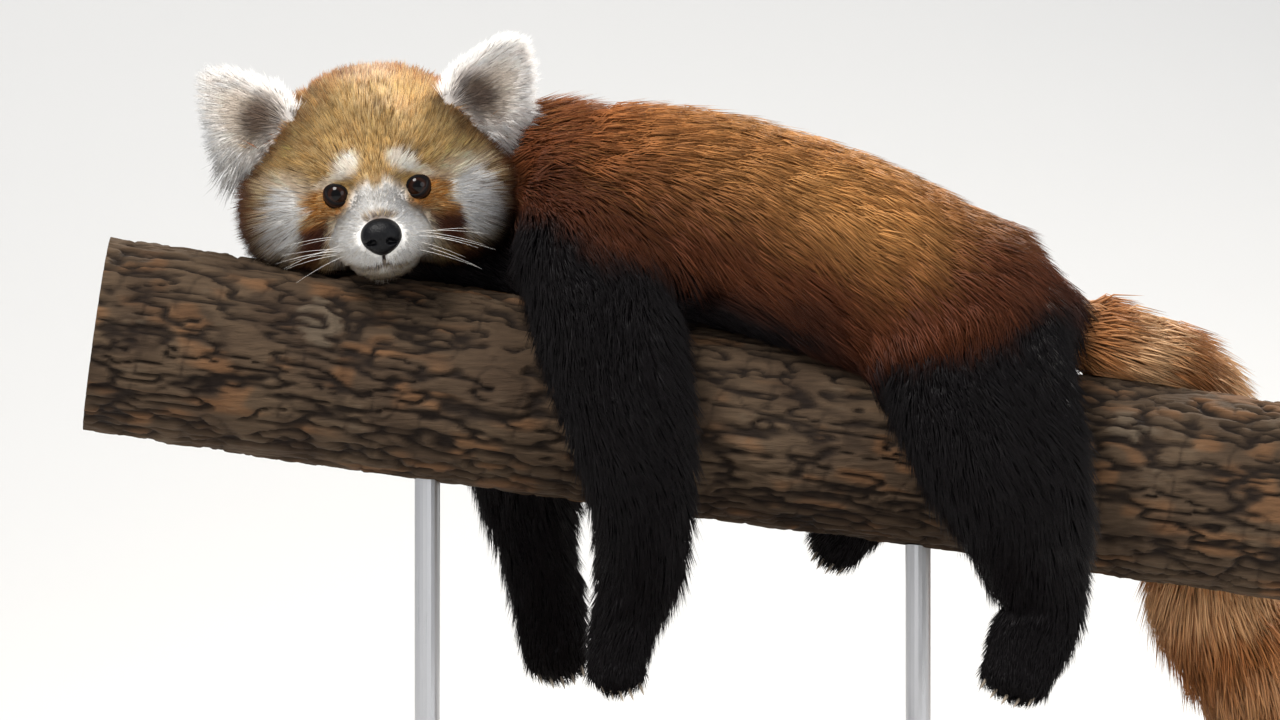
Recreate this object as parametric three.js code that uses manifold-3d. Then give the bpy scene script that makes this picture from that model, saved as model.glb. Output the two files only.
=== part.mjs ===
// A red panda resting along a sloping log with its legs hanging down on both sides, as a life-size museum
// model on a plain stand. Millimetres, +Z up. The log runs along X, the head is at -X, the face looks
// along -Y, and the origin is the middle of the underside of the stand's base.
import * as THREE from "three";
import { ParametricGeometry } from "three/addons/geometries/ParametricGeometry.js";
import { mergeVertices } from "three/addons/utils/BufferGeometryUtils.js";
import Module from "manifold-3d";

const wasm = await Module();
wasm.setup();

// Driving dimensions
const GAP = 0.3; // what touching pieces keep between them
const LOG = { radius: 53.2, swell: 0.9, slope: -0.1435, height: 226, halfLength: 335, sides: 26, rows: 5 };
const BASE = { length: 400, width: 236, thickness: 16, corner: 26, edge: 2.5 };
const ROD = { radius: 7, sides: 20, at: { stand_rod_head_end: -150, stand_rod_tail_end: 120 } };
const HEAD = { centre: [-178, -8, 362], roll: 6.3 };
const EYE = { across: 21.7, up: -11, radius: 8.6, proud: 4.2, opening: 7.1, lid: 1.5 };
const NOSE = { up: -36.5, half: [11.6, 9, 10.2], proud: 8 };
const EAR = {
  base: [52, -3, 15],
  tip: [85, -8, 63],
  inner: [30, -4, 43],
  halfWidth: 31,
  cup: 8, // depth of the hollow
  rim: 2.4, // half the thickness at the rim
  wall: 6.5, // and more than that in the middle
  fringe: 4.5, // how far the white locks pass the rim
  outerFringe: 17, // and how much further they do low on the outer side
};
// How far each core lies inside its outline, and how thick a lock is
const COAT = { body: 7, tail: 9, leg: 3.5, neck: 5, thickness: 3.2 };

// Seeded draws, so that a form's locks are the same every time it is made
let seed = 1;
function startDraws(number) {
  seed = 7919 * number + 20240611;
}
function draw(low, high) {
  seed = (seed * 1664525 + 1013904223) >>> 0;
  return low + ((high - low) * seed) / 4294967296;
}

// Closed solids from three.js geometries, and back
function solid(geometry) {
  const bare = geometry.clone();
  for (const name of Object.keys(bare.attributes)) if (name !== "position") bare.deleteAttribute(name);
  const merged = mergeVertices(bare, 1e-3);
  const corners = [];
  for (let i = 0; i < merged.index.count; i += 3) {
    const [a, b, c] = [0, 1, 2].map((k) => merged.index.getX(i + k));
    if (a !== b && b !== c && c !== a) corners.push(a, b, c);
  }
  const vertProperties = merged.attributes.position.array;
  const make = () => {
    const triVerts = new Uint32Array(corners);
    return new wasm.Manifold(new wasm.Mesh({ numProp: 3, vertProperties, triVerts }));
  };
  const made = make();
  if (made.volume() > 0) return made;
  // its faces point in, so each is turned over
  for (let i = 0; i < corners.length; i += 3) {
    [corners[i + 1], corners[i + 2]] = [corners[i + 2], corners[i + 1]];
  }
  return make();
}

function largest(manifold) {
  const bodies = manifold.decompose();
  return bodies.reduce((best, one) => (one.volume() > best.volume() ? one : best), bodies[0]);
}

function union(pieces) {
  return wasm.Manifold.union(pieces);
}

function cut(piece, ...others) {
  return largest(piece.subtract(union(others)));
}

function geometryOf(manifold) {
  const mesh = manifold.getMesh();
  const places = new Float32Array(mesh.numVert * 3);
  for (let i = 0; i < mesh.numVert; i++)
    places.set(mesh.vertProperties.subarray(i * mesh.numProp, i * mesh.numProp + 3), i * 3);
  const geometry = new THREE.BufferGeometry();
  geometry.setAttribute("position", new THREE.BufferAttribute(places, 3));
  geometry.setIndex(new THREE.BufferAttribute(new Uint32Array(mesh.triVerts), 1));
  geometry.computeVertexNormals();
  return geometry;
}

// A body of rounded sections along a smooth line. Each station is [x, y, z, half width, half depth];
// the width is measured towards `side` and the depth across it.
class Loft {
  constructor(stations, { side = [1, 0, 0], inset = 0, cap = 0.8 } = {}) {
    this.line = new THREE.CatmullRomCurve3(stations.map((s) => new THREE.Vector3(s[0], s[1], s[2])));
    this.halves = new THREE.CatmullRomCurve3(stations.map((s) => new THREE.Vector3(s[3], s[4] ?? s[3], 0)));
    this.side = new THREE.Vector3(...side);
    this.inset = inset;
    this.cap = cap;
  }
  section(t) {
    const centre = this.line.getPoint(t);
    const along = this.line.getTangent(t);
    const side = this.side.clone().addScaledVector(along, -this.side.dot(along)).normalize();
    const across = along.clone().cross(side);
    const halves = this.halves.getPoint(t);
    return { centre, along, side, across, halves };
  }
  // t may run past 0 and 1 into the round ends, by up to 1 at each
  point(t, angle, grow = 0) {
    const inside = Math.min(Math.max(t, 0), 1);
    const past = t - inside;
    const { centre, along, side, across, halves } = this.section(inside);
    const wide = halves.x - this.inset + grow;
    const deep = halves.y - this.inset + grow;
    const turn = (Math.min(Math.abs(past), 1) * Math.PI) / 2;
    const reach = Math.sign(past) * Math.sin(turn) * (this.cap * Math.min(wide, deep) + grow);
    return centre
      .addScaledVector(along, reach)
      .addScaledVector(side, Math.cos(turn) * wide * Math.cos(angle))
      .addScaledVector(across, Math.cos(turn) * deep * Math.sin(angle));
  }
  solid(sides, rows, grow = 0, ends = 2) {
    const total = rows + 2 * ends;
    const place = (row) => {
      if (row < ends) return row / ends - 1;
      if (row > total - ends) return 1 + (row - total + ends) / ends;
      return (row - ends) / rows;
    };
    const surface = (u, v, target) => target.copy(this.point(place(v * total), u * 2 * Math.PI, grow));
    return solid(new ParametricGeometry(surface, sides, total));
  }
}

// One flat, tapered lock: a leaf of four sides that leaves its root, lies along `lie` and bends back
// to the body
function lock(root, out, lie, sizes, grow = 0) {
  const { length, width, rise, bend, sink = 4, thickness = COAT.thickness } = sizes;
  const side = lie.clone().cross(out).normalize();
  const halves = [0, 0.5, 0.38, 0]; // half widths from root to tip, as shares of the width
  const stacks = halves.length - 1;
  const middles = halves.map((half, i) => {
    const v = i / stacks;
    const lift = -sink + (rise + sink) * Math.sin((v * Math.PI) / 2) - bend * v * v;
    return root.clone().addScaledVector(lie, length * v).addScaledVector(out, lift);
  });
  for (const [end, next] of [[0, 1], [stacks, stacks - 1]]) {
    const outward = middles[end].clone().sub(middles[next]).normalize();
    middles[end].addScaledVector(outward, 2 * grow);
  }
  const geometry = new ParametricGeometry(
    (u, v, target) => {
      const angle = u * 2 * Math.PI;
      const row = Math.round(v * stacks);
      const spread = halves[row] > 0 ? 2 * grow : 0;
      target
        .copy(middles[row])
        .addScaledVector(side, (halves[row] * width + spread) * Math.cos(angle))
        .addScaledVector(out, (halves[row] * thickness + spread) * Math.sin(angle));
    },
    4,
    stacks,
  );
  return solid(geometry);
}

// Rows of locks over a loft. `shape(t, angle)` gives each lock's sizes, or null where none grows.
function locksOn(loft, { rows, around, from = 0, to = 1, droop = 0 }, grow, shape) {
  const made = [];
  for (let i = 0; i < rows; i++) {
    const t = from + ((to - from) * (i + 0.5)) / rows;
    for (let j = 0; j < around; j++) {
      const angle = ((j + 0.5 * (i % 2) + draw(-0.16, 0.16)) * 2 * Math.PI) / around;
      const root = loft.point(t, angle);
      const centre = loft.section(t).centre;
      const sizes = shape(t, angle, root, centre);
      if (!sizes) continue;
      const along = loft.point(t + 0.01, angle).sub(loft.point(t - 0.01, angle)).normalize();
      const round = loft.point(t, angle + 0.05).sub(loft.point(t, angle - 0.05)).normalize();
      const out = along.clone().cross(round).normalize();
      if (out.dot(root.clone().sub(centre)) < 0) out.negate();
      const lie = along.clone().addScaledVector(new THREE.Vector3(0, 0, -1), droop);
      lie.addScaledVector(out, -lie.dot(out)).normalize();
      made.push(lock(root, out, lie, sizes, grow));
    }
  }
  return made;
}

// Log: a slightly uneven cylinder, its axis sloping down towards the tail
const logAxis = new THREE.Vector3(1, 0, LOG.slope).normalize();
const logUp = new THREE.Vector3(-LOG.slope, 0, 1).normalize();
function logSolid(grow) {
  return solid(
    new ParametricGeometry(
      (u, v, target) => {
        const angle = u * 2 * Math.PI;
        const rows = LOG.rows;
        const row = Math.round(v * (rows + 2));
        const x = (2 * Math.min(Math.max(row - 1, 0), rows)) / rows - 1;
        const uneven = LOG.swell * (Math.sin(3 * angle + 2.3 * x) + 0.6 * Math.sin(2 * angle - 4 * x));
        const radius = row === 0 || row === rows + 2 ? 0 : LOG.radius + uneven + grow;
        target
          .set(0, 0, LOG.height)
          .addScaledVector(logAxis, (x * LOG.halfLength) / logAxis.x + Math.sign(x) * grow)
          .addScaledVector(logUp, radius * Math.cos(angle));
        target.y += radius * Math.sin(angle);
      },
      LOG.sides,
      LOG.rows + 2,
    ),
  );
}
const logGrown = logSolid(GAP);

// Head: one smooth form of rounded masses, in its own frame with x to the animal's left, -y forward and z up
const ellipsoid = (p, [cx, cy, cz], [rx, ry, rz]) => {
  const [x, y, z] = [(p.x - cx) / rx, (p.y - cy) / ry, (p.z - cz) / rz];
  const near = Math.hypot(x, y, z);
  return (near * (near - 1)) / Math.max(Math.hypot(x / rx, y / ry, z / rz), 1e-6);
};
const blend = (a, b, reach) => {
  const share = Math.max(reach - Math.abs(a - b), 0) / reach;
  return Math.min(a, b) - (share * share * reach) / 4;
};
function headField(place) {
  const p = { x: Math.abs(place.x), y: place.y, z: place.z };
  let d = ellipsoid(p, [0, 8, 8], [63, 54, 52]); // braincase with its fur
  d = blend(d, ellipsoid(p, [36, -2, -19], [33, 34, 34]), 22); // cheek
  d = blend(d, ellipsoid(p, [0, -28, 2], [34, 22, 26]), 18); // brow
  d = blend(d, ellipsoid(p, [0, -46, -29], [20, 28, 18]), 16); // bridge of the muzzle
  d = blend(d, ellipsoid(p, [12, -55, -38], [16, 19, 13]), 9); // whisker pad
  d = blend(d, ellipsoid(p, [0, -44, -47], [19, 22, 11]), 5); // chin and lower lip
  const socket = ellipsoid(p, [EYE.across, -52, EYE.up], [9, 9, 7]);
  return -blend(-d, socket, 8);
}
const headMiddle = new THREE.Vector3(0, -6, -10);
const headReach = 120;
function headSurface(direction, level) {
  const at = (far) => headField(headMiddle.clone().addScaledVector(direction, far)) - level;
  let out = headReach;
  while (at(out) > 0) out -= 2;
  let [low, high] = [out, out + 2];
  for (let i = 0; i < 14; i++) {
    const middle = (low + high) / 2;
    if (at(middle) > 0) high = middle;
    else low = middle;
  }
  return headMiddle.clone().addScaledVector(direction, low);
}
function headSolid(level) {
  const geometry = new THREE.SphereGeometry(1, 30, 23);
  const places = geometry.attributes.position;
  const direction = new THREE.Vector3();
  for (let i = 0; i < places.count; i++) {
    direction.fromBufferAttribute(places, i).normalize();
    const fromFace = Math.acos(Math.min(Math.max(-direction.y, -1), 1));
    const closer = Math.PI * (fromFace / Math.PI) ** 1.35; // more rings round the face
    const ring = Math.hypot(direction.x, direction.z);
    if (ring > 1e-6) {
      direction.x *= Math.sin(closer) / ring;
      direction.z *= Math.sin(closer) / ring;
      direction.y = -Math.cos(closer);
    }
    const place = headSurface(direction, level);
    places.setXYZ(i, place.x, place.y, place.z);
  }
  return solid(geometry);
}
// How far forward the head's surface lies at x and z
function faceDepth(x, z) {
  let y = -headReach;
  while (headField({ x, y, z }) > 0 && y < 0) y += 0.25;
  return y;
}
const headPlace = new THREE.Matrix4().makeRotationFromEuler(
  new THREE.Euler(0, THREE.MathUtils.degToRad(-HEAD.roll), 0),
);
headPlace.setPosition(...HEAD.centre);
const headBack = headPlace.clone().invert();
const inWorld = (manifold) => manifold.transform([...headPlace.elements]);
const inHead = (manifold) => manifold.transform([...headBack.elements]);

// Eyes, with lids round them
const mirrored = (manifold) => manifold.mirror([1, 0, 0]);
const eyeDepth = faceDepth(EYE.across, EYE.up) + EYE.radius - EYE.proud;
function eyeBall(grow) {
  const ball = new THREE.SphereGeometry(EYE.radius + grow, 12, 8);
  ball.rotateX(Math.PI / 2);
  ball.translate(EYE.across, eyeDepth, EYE.up);
  return solid(ball);
}
function lids() {
  const ring = new THREE.TorusGeometry(EYE.opening, EYE.lid, 6, 14);
  ring.scale(1.04, 0.88, 1);
  ring.rotateX(Math.PI / 2);
  ring.rotateZ(-0.3);
  ring.translate(EYE.across + 0.6, eyeDepth - EYE.radius * 0.55, EYE.up);
  return solid(ring);
}

// Nose pad with two nostrils and the groove between them
const noseDepth = faceDepth(0, NOSE.up) + NOSE.half[1] - NOSE.proud;
function nosePad() {
  const pad = new THREE.SphereGeometry(1, 14, 9);
  const places = pad.attributes.position;
  for (let i = 0; i < places.count; i++) {
    const [x, y, z] = [places.getX(i), places.getY(i), places.getZ(i)];
    const taper = 1 - 0.16 * Math.max(-z, 0) - 0.1 * Math.max(z, 0) ** 2;
    places.setXYZ(i, x * NOSE.half[0] * taper, y * NOSE.half[1] + noseDepth, z * NOSE.half[2] + NOSE.up);
  }
  const nostril = new THREE.SphereGeometry(1, 8, 6);
  nostril.scale(2.8, 3.6, 2.1);
  nostril.rotateY(0.5);
  nostril.translate(5.6, noseDepth - NOSE.half[1] * 0.88, NOSE.up - 1.2);
  const groove = new THREE.CylinderGeometry(0.6, 0.6, 12, 6);
  groove.rotateX(Math.PI / 2);
  groove.translate(0, noseDepth - NOSE.half[1] - 0.1, NOSE.up - 7);
  const hole = solid(nostril);
  return solid(pad).subtract(hole).subtract(mirrored(hole)).subtract(solid(groove));
}

// Line of the mouth: down from the nose, then out and up to each corner
function mouthGroove() {
  const half = [[0, -48.5], [5, -52], [13, -52], [21, -48.5], [28, -43]];
  const stations = half.map(([x, z]) => [x, faceDepth(x, z), z, 1.1]);
  const side = new Loft(stations, { side: [0, 0, 1] }).solid(5, 8, 0, 1);
  return [side, mirrored(side)];
}

// Ears: a cup, pointed a little at its tip, with a fringe of white locks round the rim
const earBase = new THREE.Vector3(...EAR.base);
const earUp = new THREE.Vector3(...EAR.tip).sub(earBase);
const earLength = earUp.length();
earUp.normalize();
const earAcross = earBase.clone().sub(new THREE.Vector3(...EAR.inner));
earAcross.addScaledVector(earUp, -earAcross.dot(earUp)).normalize();
const earBackward = earAcross.clone().cross(earUp).negate();
if (earBackward.y < 0) earBackward.negate();
const earMiddle = earBase.clone().addScaledVector(earUp, earLength * 0.36);
function earRim(angle, share = 1) {
  const [c, s] = [Math.cos(angle), Math.sin(angle)];
  const high = Math.max(s, 0);
  const width = EAR.halfWidth * c * (1 - 0.42 * high);
  const height = s > 0 ? earLength * 0.68 * high ** 1.1 : earLength * 0.46 * s;
  return earMiddle.clone().addScaledVector(earAcross, width * share).addScaledVector(earUp, height * share);
}
function earCup(grow = 0) {
  const surface = (u, v, target) => {
    const share = Math.sin(v * Math.PI);
    const hollow = EAR.cup * (1 - share * share);
    const front = -EAR.rim * share - grow;
    const back = EAR.wall * (1 - share) + EAR.rim * share + grow;
    target.copy(earRim(u * 2 * Math.PI, share * (1 + grow / EAR.halfWidth)));
    target.addScaledVector(earBackward, hollow + (v < 0.5 ? front : back));
  };
  return solid(new ParametricGeometry(surface, 14, 6));
}
function earLocks(grow) {
  startDraws(2);
  const made = [];
  const count = 10;
  const rootShare = 0.6; // of the way from the ear's middle to its rim
  for (let i = 0; i < count; i++) {
    const angle = -0.9 + ((Math.PI + 1.3) * i) / (count - 1);
    const root = earRim(angle, rootShare).addScaledVector(earBackward, EAR.cup * 0.6);
    const rim = earRim(angle);
    const lie = rim.clone().sub(earMiddle).addScaledVector(earUp, 5).normalize();
    const outerSide = Math.max(Math.cos(angle + 0.45), 0) ** 2;
    const past = EAR.fringe * draw(0.8, 1.5) + EAR.outerFringe * outerSide;
    const length = rim.distanceTo(earMiddle) * (1 - rootShare) + past;
    const sizes = { length, width: 21, rise: draw(-1.5, 1), bend: 1, sink: 0 };
    made.push(lock(root, earBackward, lie, sizes, grow));
  }
  return made;
}
const earForm = (grow) => union([earCup(grow), ...earLocks(grow)]);

// Ruff of locks down each cheek, swept back and out
function ruff(grow) {
  startDraws(1);
  const made = [];
  const count = 7;
  for (let i = 0; i < count; i++) {
    const tilt = 0.3 - (1.2 * i) / (count - 1) + draw(-0.04, 0.04);
    const direction = new THREE.Vector3(Math.cos(tilt), i % 2 ? 0.15 : -0.2, Math.sin(tilt)).normalize();
    const root = headSurface(direction, 0);
    const lie = new THREE.Vector3(0.55, 0.5, Math.sin(tilt) * 0.6 - 0.25).normalize();
    const out = direction.clone().addScaledVector(lie, -direction.dot(lie)).normalize();
    const sizes = { length: draw(25, 29), width: 22, rise: 2, bend: 4, sink: 4 };
    made.push(lock(root, out, lie, sizes, grow));
  }
  return union([...made, ...made.map(mirrored)]);
}

// Trunk, neck, limbs and tail, each from its stations
const trunk = new Loft(
  [
    [-120, 36, 337, 36, 42],
    [-80, 25, 343, 52, 58],
    [-28, 6, 341, 66, 63],
    [28, -4, 331, 72, 63],
    [84, -9, 311, 73, 63],
    [136, -10, 283, 70, 62],
    [168, -6, 268, 55, 50],
  ],
  { side: [0, 1, 0], inset: COAT.body, cap: 0.5 },
);
const neckLoft = new Loft(
  [
    [-174, 30, 350, 44, 42],
    [-150, 42, 348, 44, 44],
    [-118, 41, 344, 41, 48],
    [-84, 29, 342, 45, 54],
  ],
  { side: [0.4, 1, 0], inset: COAT.neck, cap: 0.3 },
);
const tailLoft = new Loft(
  [
    [160, -2, 284, 24],
    [200, 4, 275, 25],
    [235, 14, 264, 23.5],
    [262, 36, 250, 25],
    [279, 66, 218, 28],
    [285, 80, 175, 31],
    [286, 80, 132, 34],
    [302, 77, 92, 31],
    [313, 73, 62, 25],
    [319, 71, 44, 16],
  ],
  { side: [0, 1, 0.2], inset: COAT.tail, cap: 0.5 },
);
const TAIL_PARTS = { tail_base: 0.25, tail_upper: 0.46, tail_middle: 0.72, tail_tip: 1 };
const LIMBS = {
  left_fore: {
    parts: { upper_foreleg_left: 0.39, lower_foreleg_left: 0.73, forepaw_left: 1 },
    stations: [
      [-74, -14, 350, 26, 18],
      [-62, -34, 322, 42, 30],
      [-50, -64, 277, 41, 27],
      [-38, -81, 228, 36, 24],
      [-32, -82, 180, 29, 21],
      [-33, -77, 145, 25, 19],
      [-40, -76, 120, 20.5, 17],
      [-45, -79, 99, 17, 15],
      [-46, -82, 88, 14, 12],
    ],
    claw: [0.75, 0.45, -0.5],
  },
  right_fore: {
    parts: { upper_foreleg_right: 0.39, lower_foreleg_right: 0.73, forepaw_right: 1 },
    stations: [
      [-104, 22, 348, 26, 18],
      [-98, 42, 322, 40, 30],
      [-104, 70, 272, 38, 27],
      [-102, 81, 226, 34, 24],
      [-96, 80, 188, 29, 22],
      [-89, 75, 150, 22, 19],
      [-83, 73, 126, 19, 17],
      [-80, 74, 104, 17.5, 15],
      [-78, 76, 92, 14, 12],
    ],
    claw: [0.75, -0.45, -0.5],
  },
  left_hind: {
    parts: { thigh_left: 0.42, shank_left: 0.74, hindfoot_left: 1 },
    stations: [
      [140, -6, 308, 30, 20],
      [146, -26, 284, 48, 32],
      [152, -62, 248, 53, 30],
      [164, -86, 210, 48, 28],
      [175, -88, 180, 40, 26],
      [182, -82, 152, 32, 23],
      [187, -78, 126, 23, 20],
      [179, -83, 104, 23, 18],
      [171, -90, 84, 19, 14],
    ],
    claw: [-0.35, -0.3, -0.9],
  },
  right_hind: {
    parts: { thigh_right: 0.39, shank_right: 0.685, hindfoot_right: 1 },
    stations: [
      [158, 6, 300, 28, 20],
      [148, 24, 284, 46, 32],
      [116, 62, 272, 40, 32],
      [88, 80, 256, 33, 29],
      [98, 83, 226, 27, 25],
      [110, 79, 200, 21, 20],
      [100, 75, 184, 19, 17],
      [86, 71, 168, 19, 16],
      [75, 68, 156, 15, 13],
    ],
    claw: [-0.5, 0.1, -0.85],
  },
};
const LIMB = { sides: 11, rows: 8 };
const TOE = { count: 5, spread: 0.66, across: 5.2, deep: 5.6, long: 9 };
const CLAW = { length: 11, width: 2.6, rise: -1, bend: 1.5, sink: 1, thickness: 3.4 };
const limbs = Object.values(LIMBS).map((limb) => ({
  ...limb,
  loft: new Loft(limb.stations, { inset: COAT.leg, cap: 0.35 }),
}));

// Toes and claws at the end of a limb
function toesAndClaws(limb) {
  const { centre, along, side, halves } = limb.loft.section(1);
  const made = [];
  const claw = new THREE.Vector3(...limb.claw).normalize();
  for (let i = 0; i < TOE.count; i++) {
    const share = (2 * i) / (TOE.count - 1) - 1;
    const place = centre
      .clone()
      .addScaledVector(side, share * halves.x * TOE.spread)
      .addScaledVector(along, 3 - 4.5 * share * share); // the middle toes reach furthest
    const toe = new THREE.SphereGeometry(1, 5, 3);
    toe.scale(TOE.across, TOE.deep, TOE.long);
    toe.applyQuaternion(new THREE.Quaternion().setFromUnitVectors(new THREE.Vector3(0, 0, 1), along));
    toe.translate(place.x, place.y, place.z);
    made.push(solid(toe));
    const tip = place.clone().addScaledVector(along, 5);
    const hook = claw.clone().cross(side).normalize();
    made.push(lock(tip, hook, claw, CLAW));
  }
  return made;
}

// Coats: where locks grow, and how large
function trunkLocks(grow) {
  startDraws(3);
  const spread = { rows: 5, around: 8, from: 0.08, to: 0.95, droop: 0.25 };
  return locksOn(trunk, spread, grow, (t, angle, root) => {
    const over = root.z - LOG.height - LOG.slope * root.x;
    if (over < LOG.radius * 0.7) return null;
    const rise = COAT.body * draw(0.95, 1.25);
    return { length: draw(66, 78), width: draw(44, 50), rise, bend: 3 + 4 * t, sink: 4 };
  });
}
function neckLocks(grow) {
  startDraws(4);
  return locksOn(neckLoft, { rows: 1, around: 8, from: 0.1, to: 0.5 }, grow, (t, angle, root) => {
    if (root.z < 335) return null;
    return { length: draw(44, 52), width: draw(27, 33), rise: COAT.neck * draw(1, 1.3), bend: 2 };
  });
}
function tailLocks(grow) {
  startDraws(5);
  return locksOn(tailLoft, { rows: 7, around: 5, from: 0.12, to: 0.98 }, grow, (t) => {
    const tip = Math.max(t - 0.8, 0) * 5;
    const length = draw(50, 58) - 20 * tip;
    return { length, width: draw(31, 35) - 8 * tip, rise: COAT.tail * draw(1.1, 1.5), bend: 2 };
  });
}
function limbLocks(limb, grow) {
  startDraws(6);
  return locksOn(limb.loft, { rows: 2, around: 5, from: 0.3, to: 0.65 }, grow, (t) => ({
    length: draw(46, 52) - 18 * t,
    width: draw(28, 32) - 12 * t,
    rise: COAT.leg * draw(1.1, 1.6),
    bend: 1.5,
  }));
}

// Whole forms, each as it is or a little grown so that a later node can be cut clear of it
const headRuffed = (grow) => union([headSolid(grow), ruff(grow)]);
const neckForm = (grow) => union([neckLoft.solid(14, 3, grow), ...neckLocks(grow)]);
const trunkForm = (grow) => union([trunk.solid(20, 9, grow), ...trunkLocks(grow)]);
const tailForm = (grow) => union([tailLoft.solid(10, 15, grow), ...tailLocks(grow)]);
const limbForm = (limb, grow) =>
  union([limb.loft.solid(LIMB.sides, LIMB.rows, grow), ...limbLocks(limb, grow)]);

const headGrown = headRuffed(GAP);
const headGrownWorld = inWorld(headGrown);
const earGrown = earForm(3 * GAP);
const earsGrown = [earGrown, mirrored(earGrown)].map(inWorld);
const neckGrown = neckForm(GAP);
const trunkGrown = trunkForm(GAP);
const head = cut(
  union([headRuffed(0), lids(), mirrored(lids())]),
  ...mouthGroove(),
  eyeBall(GAP),
  mirrored(eyeBall(GAP)),
  inHead(logGrown),
);
const ear = cut(earForm(0), headGrown);
const neck = cut(neckForm(0), headGrownWorld, ...earsGrown, logGrown);
const torso = cut(trunkForm(0), headGrownWorld, ...earsGrown, neckGrown, logGrown);

function shaded(name, manifold, color, roughness, metalness = 0) {
  const material = new THREE.MeshStandardMaterial({ color, roughness, metalness });
  const mesh = new THREE.Mesh(geometryOf(manifold), material);
  mesh.name = name;
  return mesh;
}
const RUST = 0x8a3f16;
const BLACK = 0x120d0c;
const model = new THREE.Group();

// Adds a limb or tail in lengths, parted square to its line; each part is named with where it ends
function addLengths(whole, loft, parts, color) {
  const names = Object.keys(parts);
  const trim = (piece, t, sign) => {
    const { centre, along } = loft.section(t);
    const normal = along.clone().multiplyScalar(sign);
    return piece.trimByPlane(normal.toArray(), normal.dot(centre) + GAP / 2);
  };
  names.forEach((name, i) => {
    let piece = whole;
    if (i > 0) piece = trim(piece, parts[names[i - 1]], 1);
    if (i < names.length - 1) piece = trim(piece, parts[name], -1);
    model.add(shaded(name, largest(piece), color, 0.9));
  });
}

// Head and what it carries, in the head's own frame
const headGroup = new THREE.Group();
headGroup.applyMatrix4(headPlace);
model.add(headGroup);
headGroup.add(shaded("head", head, 0xb98850, 0.9));
headGroup.add(shaded("nose", cut(nosePad(), headGrown), 0x14161a, 0.35));
headGroup.add(shaded("eye_left", eyeBall(0), 0x1c0f08, 0.08));
headGroup.add(shaded("eye_right", mirrored(eyeBall(0)), 0x1c0f08, 0.08));
headGroup.add(shaded("ear_left", cut(ear, inHead(logGrown)), 0xe9e4da, 0.9));
headGroup.add(shaded("ear_right", cut(mirrored(ear), inHead(logGrown)), 0xe9e4da, 0.9));

// Neck, trunk, legs and tail
model.add(shaded("neck", neck, RUST, 0.9));
model.add(shaded("torso", torso, RUST, 0.9));
const limbsGrown = [];
for (const limb of limbs) {
  const whole = union([limbForm(limb, 0), ...toesAndClaws(limb)]);
  const clear = cut(whole, trunkGrown, neckGrown, headGrownWorld, logGrown, ...limbsGrown);
  limbsGrown.push(limbForm(limb, GAP));
  addLengths(clear, limb.loft, limb.parts, BLACK);
}
addLengths(cut(tailForm(0), trunkGrown, logGrown, ...limbsGrown), tailLoft, TAIL_PARTS, 0xa4592a);

// Perch and stand
model.add(shaded("perch_log", logSolid(0), 0x4a3526, 0.95));
const plate = new THREE.Shape();
const [halfX, halfY, corner] = [BASE.length / 2 - BASE.edge, BASE.width / 2 - BASE.edge, BASE.corner];
plate.moveTo(-halfX + corner, -halfY);
plate.lineTo(halfX - corner, -halfY);
plate.absarc(halfX - corner, -halfY + corner, corner, -Math.PI / 2, 0);
plate.absarc(halfX - corner, halfY - corner, corner, 0, Math.PI / 2);
plate.absarc(-halfX + corner, halfY - corner, corner, Math.PI / 2, Math.PI);
plate.absarc(-halfX + corner, -halfY + corner, corner, Math.PI, 1.5 * Math.PI);
const plateSolid = new THREE.ExtrudeGeometry(plate, {
  depth: BASE.thickness - 2 * BASE.edge,
  bevelThickness: BASE.edge,
  bevelSize: BASE.edge,
  bevelSegments: 1,
  curveSegments: 4,
});
const base = shaded("stand_base", solid(plateSolid), 0x2b211b, 0.5);
base.position.z = BASE.edge;
model.add(base);
for (const [name, x] of Object.entries(ROD.at)) {
  const top = LOG.height + LOG.slope * x;
  const foot = BASE.thickness + GAP;
  const rod = new THREE.CylinderGeometry(ROD.radius, ROD.radius, top - foot, ROD.sides);
  rod.rotateX(Math.PI / 2);
  rod.translate(x, 0, (top + foot) / 2);
  model.add(shaded(name, cut(solid(rod), logGrown), 0x8b8d90, 0.35, 0.9));
}

export default model;
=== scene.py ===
# Looks of the red panda model: one skin under a coat of solid tufts, glass eyes, nose, claws, whiskers,
# a furrowed log and a plain display stand. Lengths are in millimetres until a mesh is made. The studio,
# lights and camera are in metres.
import math

import bpy
import numpy as np
import openvdb as vdb
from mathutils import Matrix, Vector


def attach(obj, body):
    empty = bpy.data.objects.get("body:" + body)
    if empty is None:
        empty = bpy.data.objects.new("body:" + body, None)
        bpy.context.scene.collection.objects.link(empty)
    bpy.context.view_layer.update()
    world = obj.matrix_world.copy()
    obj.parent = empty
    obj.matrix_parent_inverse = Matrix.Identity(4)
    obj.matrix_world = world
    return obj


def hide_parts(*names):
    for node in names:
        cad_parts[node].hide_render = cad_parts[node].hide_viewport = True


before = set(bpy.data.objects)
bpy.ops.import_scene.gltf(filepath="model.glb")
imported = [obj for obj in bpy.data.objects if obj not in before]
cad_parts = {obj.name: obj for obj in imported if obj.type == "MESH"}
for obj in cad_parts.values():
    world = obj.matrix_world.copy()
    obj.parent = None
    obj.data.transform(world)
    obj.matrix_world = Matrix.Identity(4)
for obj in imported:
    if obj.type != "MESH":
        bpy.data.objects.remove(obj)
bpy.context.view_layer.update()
scene = bpy.context.scene

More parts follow.
